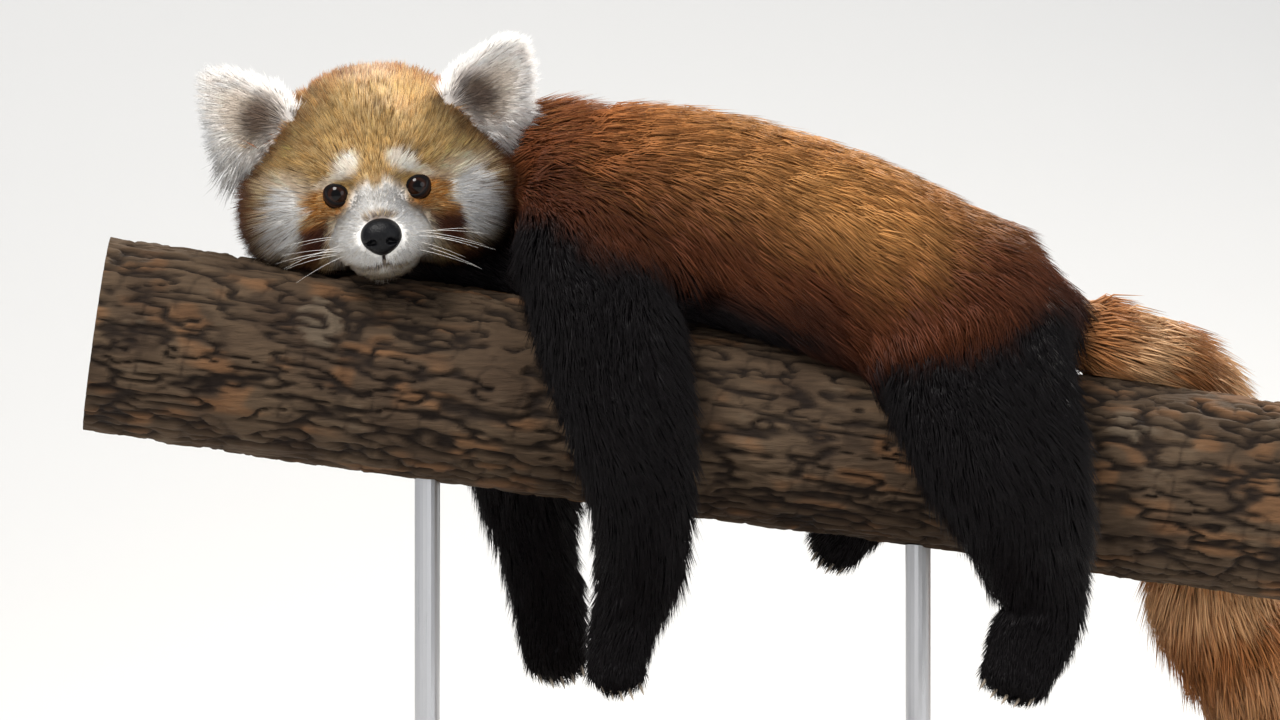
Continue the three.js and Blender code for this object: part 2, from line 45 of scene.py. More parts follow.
MM = 0.001
VOXEL = 1.9
LOW, HIGH = np.array([-272.0, -124.0, 4.0]), np.array([352.0, 130.0, 436.0])  # box round the skin
HEAD_AT, HEAD_ROLL = np.array([-178.0, -8.0, 362.0]), math.radians(6.3)
LOG_RADIUS, LOG_SLOPE, LOG_HEIGHT, LOG_HALF = 53.2, -0.1435, 226.0, 335.0
EYE_AT, EYE_RADIUS, EYE_PROUD, EYE_SLANT = (22.0, -10.8), 8.6, 4.2, 0.5
NOSE_UP, NOSE_HALF, NOSE_PROUD = -36.5, np.array([11.6, 9.0, 10.2]), 8.0


# Small maths helpers
def norm(v):
    return v / np.maximum(np.linalg.norm(v, axis=-1, keepdims=True), 1e-9)


def dot(a, b):
    return np.einsum("ij,ij->i", a, b)


def level(v, n):
    """v without its part along n."""
    return v - n * dot(v, n)[:, None]


def xyz(*parts):
    return np.stack(parts, -1)


def spin(x, z, angle):
    c, s = math.cos(angle), math.sin(angle)
    return x * c + z * s, -x * s + z * c


def step(low, high, x):
    t = np.clip((x - low) / (high - low), 0, 1)
    return t * t * (3 - 2 * t)


def smin(a, b, reach):
    share = np.maximum(reach - np.abs(a - b), 0) / reach
    return np.minimum(a, b) - share * share * reach / 4


def mix(a, b, t):
    """From a to b by t; a share for each point also mixes colours and directions."""
    a, b, t = np.asarray(a), np.asarray(b), np.asarray(t)
    return a + (b - a) * (t[..., None] if 0 < t.ndim < max(a.ndim, b.ndim) else t)


def layers(colour, *coats):
    """A colour under coats, each a colour and how much it covers."""
    for coat_colour, share in coats:
        colour = mix(colour, coat_colour, share)
    return colour


def srgb(r, g, b):
    return (np.array([r, g, b]) / 255.0) ** 2.2


HASH = 374761393, 668265263, 2147483647  # mix up the numbers of a cell


def noise(p, scale, seed=0):
    """Smooth value noise between -1 and 1 at points p."""
    q = p / scale + seed * 17.31
    cell = np.floor(q).astype(np.int64)
    f = q - cell
    f = f * f * (3 - 2 * f)
    total = 0
    for corner in range(8):
        o = np.array([corner & 1, corner >> 1 & 1, corner >> 2 & 1])
        k = cell + o
        h = (sum(k[..., i] * HASH[i] for i in range(3)) + seed * 974634) & 0xFFFFFFFF
        h = ((h ^ (h >> 13)) * 1274126177) & 0xFFFFFFFF
        value = ((h ^ (h >> 16)) & 0xFFFF) / 32767.5 - 1
        total = total + value * np.prod(np.where(o == 1, f, 1 - f), axis=-1)
    return total


def noise3(p, scale, seed):
    """A vector of three noises, with seeds that follow each other."""
    return np.stack([noise(p, scale, seed + k) for k in range(3)], -1)


# Bodies of rounded sections along a smooth line
def curve(points, t):
    points = np.asarray(points, float)
    last = len(points) - 1
    at = np.clip(t, 0, 1) * last
    i = np.minimum(at.astype(int), last - 1)
    w = (at - i)[:, None]
    padded = np.vstack([2 * points[0] - points[1], points, 2 * points[-1] - points[-2]])
    p0, p1, p2, p3 = (padded[i + k] for k in range(4))
    d0, d1, d2 = (np.maximum(np.linalg.norm(b - a, axis=1, keepdims=True), 1e-4) ** 0.5
                  for a, b in [(p0, p1), (p1, p2), (p2, p3)])
    m1 = ((p1 - p0) / d0 - (p2 - p0) / (d0 + d1) + (p2 - p1) / d1) * d1
    m2 = ((p2 - p1) / d1 - (p3 - p1) / (d1 + d2) + (p3 - p2) / d2) * d1
    return p1 + m1 * w + (3 * (p2 - p1) - 2 * m1 - m2) * w**2 + (2 * (p1 - p2) + m1 + m2) * w**3


SECTIONS = 64


class Loft:
    """A body of elliptical sections. A station is a place and its half widths, to the side and across."""

    def __init__(self, stations, side, inset, cap, reach):
        stations = [list(s) + [s[3]] if len(s) == 4 else list(s) for s in stations]
        t = np.linspace(0, 1, SECTIONS)
        self.centre = curve([s[:3] for s in stations], t)
        self.along = norm(np.gradient(self.centre, axis=0))
        side = np.array(side, float)
        self.side = norm(side - self.along * (self.along @ side)[:, None])
        self.half = curve([[s[3], s[4], 0] for s in stations], t)[:, :2] - inset
        self.cap, self.reach = cap, reach

    def query(self, p):
        """Distance-like value, place along the line, the line's way and the angle round it, at points p."""
        p = p.astype(np.float32)
        best = np.full(len(p), 1e12, np.float32)
        index = np.zeros(len(p), np.int32)
        for k, c in enumerate(self.centre.astype(np.float32)):
            far = (p[:, 0] - c[0]) ** 2 + (p[:, 1] - c[1]) ** 2 + (p[:, 2] - c[2]) ** 2
            closer = far < best
            best[closer] = far[closer]
            index[closer] = k
        rel = p - self.centre[index]
        w = dot(rel, self.along[index])
        spacing = np.linalg.norm(np.diff(self.centre, axis=0), axis=1).mean()
        shift = np.clip(w / spacing, -1, 1)
        other = np.clip(index + np.sign(shift).astype(int), 0, SECTIONS - 1)
        blend = np.abs(shift)[:, None] * (other != index)[:, None]

        def at(rows):
            return rows[index] * (1 - blend) + rows[other] * blend

        rel, half = p - at(self.centre), at(self.half)
        along, side = norm(at(self.along)), norm(at(self.side))
        u, v, w = dot(rel, side), dot(rel, np.cross(along, side)), dot(rel, along)
        length = self.cap * half.min(axis=1)
        k0 = np.sqrt((u / half[:, 0]) ** 2 + (v / half[:, 1]) ** 2 + (w / length) ** 2)
        k1 = np.sqrt((u / half[:, 0] ** 2) ** 2 + (v / half[:, 1] ** 2) ** 2 + (w / length**2) ** 2)
        t = (index + shift * (other != index)) / (SECTIONS - 1)
        return k0 * (k0 - 1) / np.maximum(k1, 1e-6), t, along, np.arctan2(v, u)

    def box(self):
        reach = self.half.max() + 16
        return self.centre.min(axis=0) - reach, self.centre.max(axis=0) + reach


LIMB_LOFT = [1, 0, 0], 4, 0.6, 26
PARTS = {
    "trunk": Loft(
        [[-120, 36, 337, 36, 42], [-80, 25, 343, 52, 58], [-28, 6, 341, 66, 63], [28, -4, 331, 72, 63],
         [84, -9, 311, 73, 63], [136, -10, 283, 70, 62], [168, -6, 268, 55, 50]],
        [0, 1, 0], 14, 0.5, 10),
    "neck": Loft(
        [[-174, 28, 345, 44, 47], [-150, 38, 341, 44, 52], [-118, 37, 336, 43, 56], [-84, 27, 334, 46, 62]],
        [0.4, 1, 0], 8, 0.4, 20),
    "left_fore": Loft(
        [[-74, -14, 350, 26, 18], [-62, -34, 322, 42, 30], [-50, -64, 277, 41, 27], [-38, -81, 228, 36, 24],
         [-32, -82, 180, 29, 21], [-33, -77, 145, 25, 19], [-40, -76, 120, 21, 17], [-45, -79, 99, 20, 16],
         [-46, -82, 88, 17.5, 14]],
        *LIMB_LOFT),
    "right_fore": Loft(
        [[-104, 22, 348, 26, 18], [-98, 42, 322, 40, 30], [-104, 70, 272, 38, 27], [-102, 81, 226, 34, 24],
         [-96, 80, 188, 29, 22], [-89, 75, 150, 22, 19], [-84, 73, 126, 22, 17], [-81, 74, 104, 22, 16],
         [-79, 76, 92, 19, 14]],
        *LIMB_LOFT),
    "left_hind": Loft(
        [[140, -6, 308, 30, 20], [146, -26, 284, 48, 32], [152, -62, 248, 53, 30], [164, -86, 210, 48, 28],
         [175, -88, 180, 40, 26], [182, -82, 152, 32, 23], [187, -78, 126, 25, 20], [179, -83, 104, 26, 18],
         [171, -90, 84, 22, 15]],
        *LIMB_LOFT),
    "right_hind": Loft(
        [[158, 6, 300, 28, 20], [148, 24, 284, 46, 32], [116, 62, 272, 40, 32], [88, 80, 256, 33, 29],
         [98, 83, 226, 27, 25], [110, 79, 200, 21, 20], [100, 75, 184, 20, 17], [86, 71, 168, 20, 16],
         [75, 68, 156, 17, 14]],
        *LIMB_LOFT),
    "tail": Loft(
        [[160, -2, 284, 24], [200, 4, 275, 25], [235, 14, 264, 23.5], [262, 36, 250, 25], [279, 66, 218, 28],
         [285, 80, 175, 31], [286, 80, 132, 34], [302, 77, 92, 31], [313, 73, 62, 25], [319, 71, 44, 16]],
        [0, 1, 0.2], 11, 0.9, 14),
}
LIMBS = ("left_fore", "right_fore", "left_hind", "right_hind")
CLAW_WAYS = {"left_fore": (0.35, -0.1, -0.95), "right_fore": (0.3, -0.1, -0.95),
             "left_hind": (-0.5, -0.3, -0.85), "right_hind": (-0.55, 0.0, -0.85)}

# Head, in its own frame: x to the animal's left, -y forward, z up
cos, sin = math.cos(HEAD_ROLL), math.sin(HEAD_ROLL)
HEAD_TURN = np.array([[cos, 0, -sin], [0, 1, 0], [sin, 0, cos]])  # head to model


def sided(q):
    """x, y and z of points, both sides of the head taken as one."""
    return np.abs(q[..., 0]), q[..., 1], q[..., 2]


def to_head(p):
    return (p - HEAD_AT) @ HEAD_TURN


def from_head(p):
    return np.asarray(p, float) @ HEAD_TURN.T + HEAD_AT


def ellipsoid(x, y, z, centre, radii):
    x, y, z = ((a - c) / r for a, c, r in zip((x, y, z), centre, radii))
    k0 = np.sqrt(x * x + y * y + z * z)
    k1 = np.sqrt((x / radii[0]) ** 2 + (y / radii[1]) ** 2 + (z / radii[2]) ** 2)
    return k0 * (k0 - 1) / np.maximum(k1, 1e-6)


def head_field(q):
    x, y, z = sided(q)
    d = ellipsoid(x, y, z, (0, 8, 7), (63, 54, 49))
    d = smin(d, ellipsoid(x, y, z, (36, -2, -19), (33, 34, 34)), 22)
    d = smin(d, ellipsoid(x, y, z, (0, -28, 2), (34, 22, 26)), 18)
    d = d + 3.0 * step(-62, -40, y)  # the coat's depth, thinner on the muzzle
    slope = 0.74 * x - 0.30 * y + 0.60 * z - 50.5  # the crown falls away in front of each ear
    d = -smin(-d, -slope, 12)
    d = smin(d, ellipsoid(x, y, z, (0, -46, -29), (19, 27, 17)), 16)
    d = smin(d, ellipsoid(x, y, z, (12, -55, -38), (15, 18, 12)), 9)
    d = smin(d, ellipsoid(x, y, z, (0, -44, -47), (18, 21, 10.5)), 5)
    socket = ellipsoid(x, y, z, (EYE_AT[0], -52, EYE_AT[1]), (9, 9, 7))
    return -smin(-d, socket, 8)


def face_depth(x, z):
    """How far forward the face lies at x and z."""
    x, z = np.atleast_1d(x, z)
    y = np.full(len(x), -110.0)
    for _ in range(220):
        inside = head_field(xyz(x, y, z)) <= 0
        y = np.where(inside, y, np.minimum(y + 0.5, 0.0))
    return y


# Ear: a thin cup
EAR_BASE, EAR_TIP, EAR_INNER = np.array([52.0, -4, 15]), np.array([86.0, -10, 64]), np.array([29.0, -17, 43])
ear_up = EAR_TIP - EAR_BASE
EAR_LENGTH = np.linalg.norm(ear_up)
ear_up = ear_up / EAR_LENGTH
ear_across = EAR_BASE - EAR_INNER
ear_across = norm(ear_across - ear_up * (ear_across @ ear_up))
ear_back = -np.cross(ear_across, ear_up)
ear_back = ear_back if ear_back[1] > 0 else -ear_back
EAR_MIDDLE = EAR_BASE + ear_up * EAR_LENGTH * 0.36
EAR_ROOT = EAR_MIDDLE - ear_across * 14 - ear_up * 16  # where its hairs fan out from
EAR_WIDE = 27.5
EAR_CORE = 0.84  # size of the cup under its hairs


def ear_place(q):
    """Across, up and back from the ear's middle, and how far out towards the rim (1 is the rim)."""
    rel = xyz(*sided(q)) - EAR_MIDDLE
    a, u, b = rel @ ear_across, rel @ ear_up, rel @ ear_back
    high = np.clip(u / (EAR_LENGTH * 0.68), 0, 1)
    width = EAR_WIDE * (1 - 0.42 * high)
    height = np.where(u > 0, EAR_LENGTH * 0.68, EAR_LENGTH * 0.46)
    out = np.sqrt((a / width) ** 2 + (u / height) ** 2)
    return a, u, b, out


def ear_field(q):
    _, _, b, out = ear_place(q)
    middle = 8 * (1 - np.minimum(out, 1.2) ** 2) + 2.5
    sheet = np.abs(b - middle) - (1.9 + 1.6 * np.clip(1 - out, 0, 1))
    return -smin(-sheet, -(out - EAR_CORE) * 24, 3)


LOG_AXIS = norm(np.array([1.0, 0, LOG_SLOPE]))
LOG_UP = np.array([-LOG_AXIS[2], 0, LOG_AXIS[0]])
LOG_MIDDLE = np.array([0, 0, LOG_HEIGHT])


def log_frame(p):
    """Along the log, radius from its axis and angle round it, for points p."""
    rel = p - LOG_MIDDLE
    b, c = rel[..., 1], rel @ LOG_UP
    return rel @ LOG_AXIS, np.hypot(b, c), np.arctan2(b, c)


def log_radius(a, angle):
    x = a / LOG_HALF
    return LOG_RADIUS + 0.9 * (np.sin(3 * angle + 2.3 * x) + 0.6 * np.sin(2 * angle - 4 * x))


def toes(name):
    part = PARTS[name]
    centre, along, side = part.centre[-1], part.along[-1], part.side[-1]
    for share in np.linspace(-1, 1, 5):
        yield centre + side * share * (part.half[-1, 0] + 3) * 0.66 + along * (3 - 4.5 * share * share), along


def largest_body(points, quads):
    label, old = np.arange(len(points)), None
    while not np.array_equal(label, old):
        old = label.copy()
        np.minimum.at(label, quads, old[quads].min(axis=1)[:, None])
        label = label[label]
    label = label[quads[:, 0]]
    names, counts = np.unique(label, return_counts=True)
    used, quads = np.unique(quads[label == names[counts.argmax()]], return_inverse=True)
    return points[used], quads.reshape(-1, 4)


def lattice(low, cell, start, stop):
    """Points of a grid from the cells `start` to `stop`."""
    axes = [low[k] + cell * np.arange(start[k], stop[k]) for k in range(3)]
    return np.stack(np.meshgrid(*axes, indexing="ij"), -1)


def surface(field, limit, cell, low):
    """Points and quads round the places where a field on a grid is below 0."""
    grid = vdb.FloatGrid(limit)
    grid.copyFromArray(np.clip(field, -limit, limit).astype(np.float32))
    points, quads = grid.convertToQuads(isovalue=0.0)
    return points.astype(np.float64) * cell + low, quads.astype(np.int64)


def quad_normals(corner):
    return np.cross(corner[:, 2] - corner[:, 0], corner[:, 3] - corner[:, 1])


def face_outward(points, quads):
    corner = points[quads]
    return quads if (quad_normals(corner) * corner.mean(axis=1)).sum() > 0 else quads[:, ::-1]


TOE_RADII, TOE_ROOM = (5.0, 5.0, 7.6), 14
SMOOTH_ROUNDS, SMOOTH_IN, SMOOTH_OUT = 12, 0.6, -0.56


# One skin for the whole animal
def build_skin():
    shape = np.ceil((HIGH - LOW) / VOXEL).astype(int)
    field = np.full(shape, 30.0, np.float32)

    def add(low, high, function, reach):
        i = np.clip(((low - LOW) / VOXEL).astype(int), 0, shape)
        j = np.clip(((high - LOW) / VOXEL).astype(int) + 1, 0, shape)
        p = lattice(LOW, VOXEL, i, j).reshape(-1, 3)
        sub = field[i[0]:j[0], i[1]:j[1], i[2]:j[2]]
        d = function(p).reshape(sub.shape)
        sub[...] = smin(sub, d, reach)

    for part in PARTS.values():
        add(*part.box(), lambda p, part=part: part.query(p)[0], part.reach)
    for name in LIMBS:
        for place, along in toes(name):
            def toe(p, place=place, along=along):
                rel = p - place
                w = rel @ along
                r = np.sqrt(np.maximum((rel**2).sum(-1) - w**2, 0))
                return ellipsoid(r, 0, w, (0, 0, 0), TOE_RADII)

            add(place - TOE_ROOM, place + TOE_ROOM, toe, 3)
    add(HEAD_AT - 82, HEAD_AT + 82, lambda p: head_field(to_head(p)), 14)
    add(HEAD_AT - [120, 30, 40], HEAD_AT + [120, 50, 110], lambda p: ear_field(to_head(p)), 5)
    a, r, angle = log_frame(lattice(LOW, VOXEL, (0, 0, 0), shape))
    field = np.maximum(field, (log_radius(a, angle) + 0.6 - r).astype(np.float32))
    points, quads = largest_body(*surface(field, 4 * VOXEL, VOXEL, LOW))
    # the body is smoothed more than the head
    amount = 0.35 + 0.65 * step(4, 14, head_field(to_head(points)))[:, None]
    for k in range(SMOOTH_ROUNDS):
        total = np.zeros_like(points)
        count = np.zeros(len(points))
        for i in range(4):
            np.add.at(total, quads[:, i], points[quads[:, (i + 1) % 4]])
            np.add.at(count, quads[:, i], 1)
        weight = (SMOOTH_IN if k % 2 == 0 else SMOOTH_OUT) * (amount if k > 1 else 1)
        points = points + weight * (total / count[:, None] - points)
    quads = face_outward(points, quads)
    face_normal = quad_normals(points[quads])
    normal = np.zeros_like(points)
    for k in range(4):
        np.add.at(normal, quads[:, k], face_normal)
    return points, quads, norm(normal)


def describe(p, n):
    """Where points lie on the animal: part, place along it, lie of the coat and place in the head's frame."""
    names = list(PARTS)
    d = np.empty((len(names), len(p)))
    t = np.empty_like(d)
    angle = np.empty_like(d)
    along = np.empty((len(names), len(p), 3))
    for k, name in enumerate(names):
        d[k], t[k], along[k], angle[k] = PARTS[name].query(p)
    weight = np.exp(-np.clip(d - d.min(axis=0), 0, 60) / 5.0)
    weight /= weight.sum(axis=0)
    q = to_head(p)
    head, ear = head_field(q), ear_field(q)
    ear_share = step(2.5, -1.0, ear) * step(-1.5, 1.5, head - 2)
    head_share = step(-6, 6, d.min(axis=0) - head) * (1 - ear_share)
    weights = dict(zip(names, weight))
    limb = sum(weights[name] for name in LIMBS)
    return {"p": p, "n": n, "q": q, "t": t, "angle": angle, "nearest": d.argmin(axis=0),
            "lie": np.einsum("kn,kni->ni", weight, along), "weight": weights, "along": dict(zip(names, t)),
            "ear_out": ear_place(q)[3], "shares": (head_share, ear_share, weights["tail"], limb)}


RUSSET, DEEP, GOLD, BLACK = srgb(152, 92, 50), srgb(86, 46, 28), srgb(196, 142, 82), srgb(24, 20, 22)
TAN, TICK, WHITE, STRIPE = srgb(200, 158, 96), srgb(118, 84, 52), srgb(242, 239, 234), srgb(198, 130, 62)
MAROON, CROWN, CHIN_SHADE, EAR_DARK = srgb(72, 36, 26), srgb(158, 102, 60), srgb(176, 166, 154), srgb(80, 75, 70)
TAIL_PALE, TAIL_WARM, CREAM = srgb(214, 172, 128), srgb(172, 110, 62), srgb(222, 210, 192)
BROWN, STRAW = srgb(116, 76, 50), srgb(232, 204, 150)
# Height at which the coat turns black, along the body
BLACK_AT = [[-130, -93, -55, -27, 0, 55, 93, 137, 165, 190, 230],
            [346, 338, 316, 312, 304, 285, 264, 268, 277, 292, 300]]
MOUTH = np.array([[0, -45.0], [0, -50.6], [4, -52.0], [9, -52.4], [14, -51.2], [19, -49.4]])


def spot(x, z, cx, cz, rx, rz, soft=0.35, turn=0.0):
    """1 inside an ellipse with a soft edge, 0 outside it."""
    u, v = spin(x - cx, z - cz, turn)
    return step(1 + soft, 1 - soft, np.hypot(u / rx, v / rz))


def mouth_distance(x, z):
    far = np.full(x.shape, 99.0)
    for a, b in zip(MOUTH[:-1], MOUTH[1:]):
        way = b - a
        share = np.clip(((x - a[0]) * way[0] + (z - a[1]) * way[1]) / (way @ way), 0, 1)
        far = np.minimum(far, np.hypot(x - a[0] - share * way[0], z - a[1] - share * way[1]))
    return far


def markings_and_painted_light(s):
    """Colour of the coat at each point, its markings with some painted light and shade, the same for skin and
    tufts.
    """
    p, n, q = s["p"], s["n"], s["q"]
    head, ear, tail, _ = s["shares"]
    one = np.ones((len(p), 3))
    # body: russet back with a golden painted highlight on the upper flank and along the top of the back,
    # darker below and black under that
    wave = noise(p, 30.0, 3)
    px, pz = p[:, 0], p[:, 2]
    # painted highlight: a golden glow on the upper flank, where the fur catches the light
    flank_highlight = spot(px, pz, 82, 350, 105, 52, 0.6) * (0.75 + 0.35 * wave)
    above = pz - np.interp(px, *BLACK_AT) + 9 * wave + 5 * noise(p, 9.0, 6)
    body = layers(
        one * RUSSET,
        (DEEP, np.clip(0.5 + 0.6 * noise(p * [0.6, 1, 1], 34.0, 5), 0, 1) * 0.55),
        (GOLD, np.clip(flank_highlight, 0, 1) * 0.75),
        # painted highlight: gold along the top of the back, where the rim light falls
        (GOLD, step(366, 392, pz) * step(-60, 20, px) * 0.45),
        (DEEP, step(95, 165, px) * 0.55),
        (DEEP, step(72, 16, above) * 0.95),
        (BLACK, step(14, -14, above)))
    # tail, with faint rings
    along = s["along"]["tail"]
    rings = 0.5 + 0.5 * np.sin(along * 42 + 0.9 * wave)
    ringed = layers(
        one * TAIL_WARM * 0.8,
        (TAIL_PALE, 0.05 + 0.8 * rings),
        (RUSSET, step(0.5, 0.8, along) * 0.5),
        (DEEP, step(0.93, 1.0, along) * 0.6))
    # head
    x, y, z = sided(q)
    fx, fz = x + 1.6 * noise(q, 9.0, 7), z + 1.4 * noise(q, 11.0, 9)
    face = layers(
        one * TAN,
        (CROWN, step(30, 56, z + 0.4 * y + 5 * noise(q, 12.0, 8)) * 0.75),
        (TICK, 0.30 * step(-0.2, 0.7, noise(q, 14.0, 15))),
        (CROWN * 1.1, 0.4 * step(-0.1, 0.6, noise(q, 10.0, 16)) * step(5, 30, z)))
    # painted light: the temples are brightened where the sides of the head turn away from the lamps
    face = face * (1 + 0.25 * step(30, 52, x) * step(-18, 4, z) * step(44, 26, z) * step(8, -16, y))[:, None]
    outer = step(57, 66, fx + 0.4 * np.maximum(y + 12, 0) - 0.12 * np.maximum(z, 0))
    front = step(2, -16, y)
    white = spot(fx, fz, 0, -36, 29, 21) + spot(fx, fz, 0, -17, 14, 12)
    brow = 0.9 * spot(fx, fz, 14.8, 3.6, 7.6, 5.6, 0.5, -0.5)
    brow = brow + 0.5 * spot(fx, fz, 26.5, -3.5, 8.5, 3.2, 0.5, -0.45)
    white = white + brow
    cheek = spot(fx, fz, 50.5, -24, 11.5, 17, 0.3, 0.1) + 0.45 * spot(fx, fz, 47, -5, 12, 8, 0.6)
    cheek = cheek * (1 - 0.9 * outer)
    white = np.clip(white + cheek, 0, 1) * front
    bridge = step(6.0, 3.0, fx + 0.24 * np.maximum(-z, 0)) * step(-13, -7, fz) * step(30, 12, z)
    white = white * (1 - 0.85 * bridge)
    pale = mix(one * WHITE, CREAM, np.clip(brow, 0, 1) * 0.7) * (0.93 + 0.07 * noise(q, 5.0, 18))[:, None]
    under = spot(fx, fz, 29, -15.5, 11.5, 8.2, 0.3, 0.3)
    stripe = np.maximum(under, spot(fx, fz, 36.5, -31, 7.2, 13, 0.3, 0.15)) * front
    lip = step(1.8, 0.5, mouth_distance(x, z)) * (front * step(-40, -50, y))
    back = step(-24, 26, y + 0.25 * x + 9 * noise(q, 12.0, 19) - 6)
    face = layers(
        face,
        (BROWN, outer * 0.9),
        (MAROON, step(-28, -46, z) * step(28, 44, x) * 0.9),
        (pale, white),
        (mix(one * STRIPE, MAROON, step(-19, -30, z)), stripe * 0.97),
        (TICK, spot(x, z, 0, -25.5, 8.5, 3.6, 0.5) * front * (0.7 + 0.3 * noise(q, 2.2, 17))),
        # painted shade: the chin is greyed where it lies under the head
        (CHIN_SHADE, step(-51, -56, z) * step(26, 18, x) * 0.7),
        (MAROON * 0.8, lip * (0.75 - 0.5 * step(5, 17, x))),
        (RUSSET, back),
        (DEEP, back * step(10, -20, z)),
        (BLACK, back * step(-16, -40, z) * 0.9))
    # ears: white, with a dark patch in the cup
    turned = n @ HEAD_TURN
    patch = spot(x, z, 59, 36, 9.5, 11.5, 0.6, 0.6) * step(0.3, -0.3, turned[:, 1])
    cup = layers(
        one * WHITE,
        (CREAM, step(0.6, 0.25, s["ear_out"]) * 0.7),
        (EAR_DARK, patch * 0.92),
        (CROWN, step(-0.1, 0.6, turned[:, 1]) * step(0.72, 0.45, s["ear_out"]) * 0.6))
    return layers(body, (ringed, step(0.35, 0.75, tail)), (face, head), (cup, ear))


def put(name, data, where=(0, 0, 0), turn=(0, 0, 0)):
    obj = bpy.data.objects.new(name, data)
    obj.location, obj.rotation_euler = where, turn
    scene.collection.objects.link(obj)
    return obj


def make_mesh(name, points, faces, look, colours=None):
    mesh = bpy.data.meshes.new(name)
    faces = np.asarray(faces)
    count, sides = faces.shape
    mesh.vertices.add(len(points))
    mesh.vertices.foreach_set("co", (np.asarray(points) * MM).astype(np.float32).ravel())
    mesh.loops.add(count * sides)
    mesh.loops.foreach_set("vertex_index", faces.astype(np.int32).ravel())
    mesh.polygons.add(count)
    mesh.polygons.foreach_set("loop_start", np.arange(0, count * sides, sides, dtype=np.int32))
    mesh.polygons.foreach_set("use_smooth", np.full(count, True))
    mesh.update(calc_edges=True)
    mesh.materials.append(look.material)
    if colours is not None:
        rgba = np.ones((len(colours), 4), np.float32)
        rgba[:, :3] = colours
        layer = mesh.color_attributes.new(name="tint", type="FLOAT_COLOR", domain="POINT")
        layer.data.foreach_set("color", rgba.ravel())
    obj = put(name, mesh)
    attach(obj, "root")
    return obj


class Look:
    """A material of procedural nodes that feed one shader."""

    def __init__(self, name, roughness, specular, metallic=0.0, colour=None):
        self.material = bpy.data.materials.new(name)
        self.material.use_nodes = True
        self.nodes, self.links = self.material.node_tree.nodes, self.material.node_tree.links
        self.shader = self.nodes["Principled BSDF"]
        self.shader.inputs["Roughness"].default_value = roughness
        self.shader.inputs["Specular IOR Level"].default_value = specular
        self.shader.inputs["Metallic"].default_value = metallic
        if colour is not None:
            self.shader.inputs["Base Color"].default_value = (*colour, 1)

    def node(self, kind, result, **inputs):
        """Adds a node, sets or links its inputs, and returns one output."""
        node = self.nodes.new("ShaderNode" + kind)
        for name, value in inputs.items():
            socket = node.inputs[name.replace("_", " ")]
            if isinstance(value, bpy.types.NodeSocket):
                self.links.new(value, socket)
            else:
                socket.default_value = value
        return node.outputs[result]

    def feed(self, name, output):
        self.links.new(output, self.shader.inputs[name])

    def tint(self):
        colour = self.node("Attribute", "Color")
        colour.node.attribute_name = "tint"
        return colour

    def noise(self, scale, detail, stretch=None):
        where = self.node("TexCoord", "Object")
        if stretch:
            where = self.node("Mapping", "Vector", Vector=where, Scale=stretch)
        return self.node("TexNoise", "Fac", Vector=where, Scale=scale, Detail=detail)

    def span(self, value, low, high):
        return self.node("MapRange", "Result", Value=value, To_Min=low, To_Max=high)

    def scale(self, colour, share):
        scaled = self.node("VectorMath", "Vector", Vector=colour)
        scaled.node.operation = "SCALE"
        self.links.new(share, scaled.node.inputs["Scale"])
        return scaled

    def ramp(self, value, *stops):
        colour = self.node("ValToRGB", "Color", Fac=value)
        for element, (place, tone) in zip(colour.node.color_ramp.elements, stops):
            element.position = place
            element.color = (*tone, 1)
        return colour

    def bump(self, height, strength, distance):
        self.feed("Normal", self.node("Bump", "Normal", Height=height, Strength=strength, Distance=distance))


def tinted_look(name, roughness, specular):
    look = Look(name, roughness, specular)
    look.feed("Base Color", look.tint())
    return look


def coat_look(name, roughness, specular, vary):
    look = Look(name, roughness, specular)
    share = look.span(look.noise(900.0, 2.0), 1 - vary, 1 + vary)
    look.feed("Base Color", look.scale(look.tint(), share))
    return look


FUR = coat_look("fur", 0.55, 0.22, 0.10)
LEG_FUR = coat_look("leg_fur", 0.5, 0.22, 0.10)
SKIN = coat_look("skin", 0.85, 0.12, 0.25)

# Skin
skin_points, skin_quads, skin_normals = build_skin()
skin_colour = markings_and_painted_light(describe(skin_points, skin_normals))
# painted shade: the skin is darkened under the coat, less where it is pale, as shade in the gaps between the
# tufts
pale = step(0.35, 0.7, skin_colour.mean(axis=1))[:, None]
skin = make_mesh("skin", skin_points, skin_quads, SKIN, skin_colour * (0.5 + 0.4 * pale))
FLESH = [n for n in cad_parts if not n.startswith(("stand", "perch", "eye", "nose"))]
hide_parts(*FLESH)


# Coat. The head is unwrapped in two halves, front and back, each by the angle seen from far behind it
HEAD_AXIS, HEAD_ANGLE, HEAD_LOW, HEAD_TALL = 90, 2.2, -70, 160


def unwrap(s):
    """The root's place on an unwrap of the skin's own shape: one band per part, and two for the head."""
    head, ear, _, _ = s["shares"]
    k = s["nearest"]
    pick = np.arange(len(k))
    u = s["angle"][k, pick] / (2 * math.pi) + 0.5
    v = np.clip(s["t"][k, pick], 0, 1)
    bands = len(PARTS) + 2
    q = s["q"]
    on_head = np.maximum(head, ear) > 0.5
    front = q[:, 1] < np.where(ear > 0.5, 14, 4)
    ahead = np.where(front, -1, 1) * q[:, 1] + HEAD_AXIS
    u = np.where(on_head, np.arctan2(q[:, 0], ahead) / HEAD_ANGLE + 0.5, u)
    v = np.where(on_head, np.clip((q[:, 2] - HEAD_LOW) / HEAD_TALL, 0, 1), v)
    band = np.where(on_head, len(PARTS) + np.where(front, 0, 1), k)
    return np.stack([0.004 + 0.99 * u, (band + 0.03 + 0.94 * v) / bands], -1)


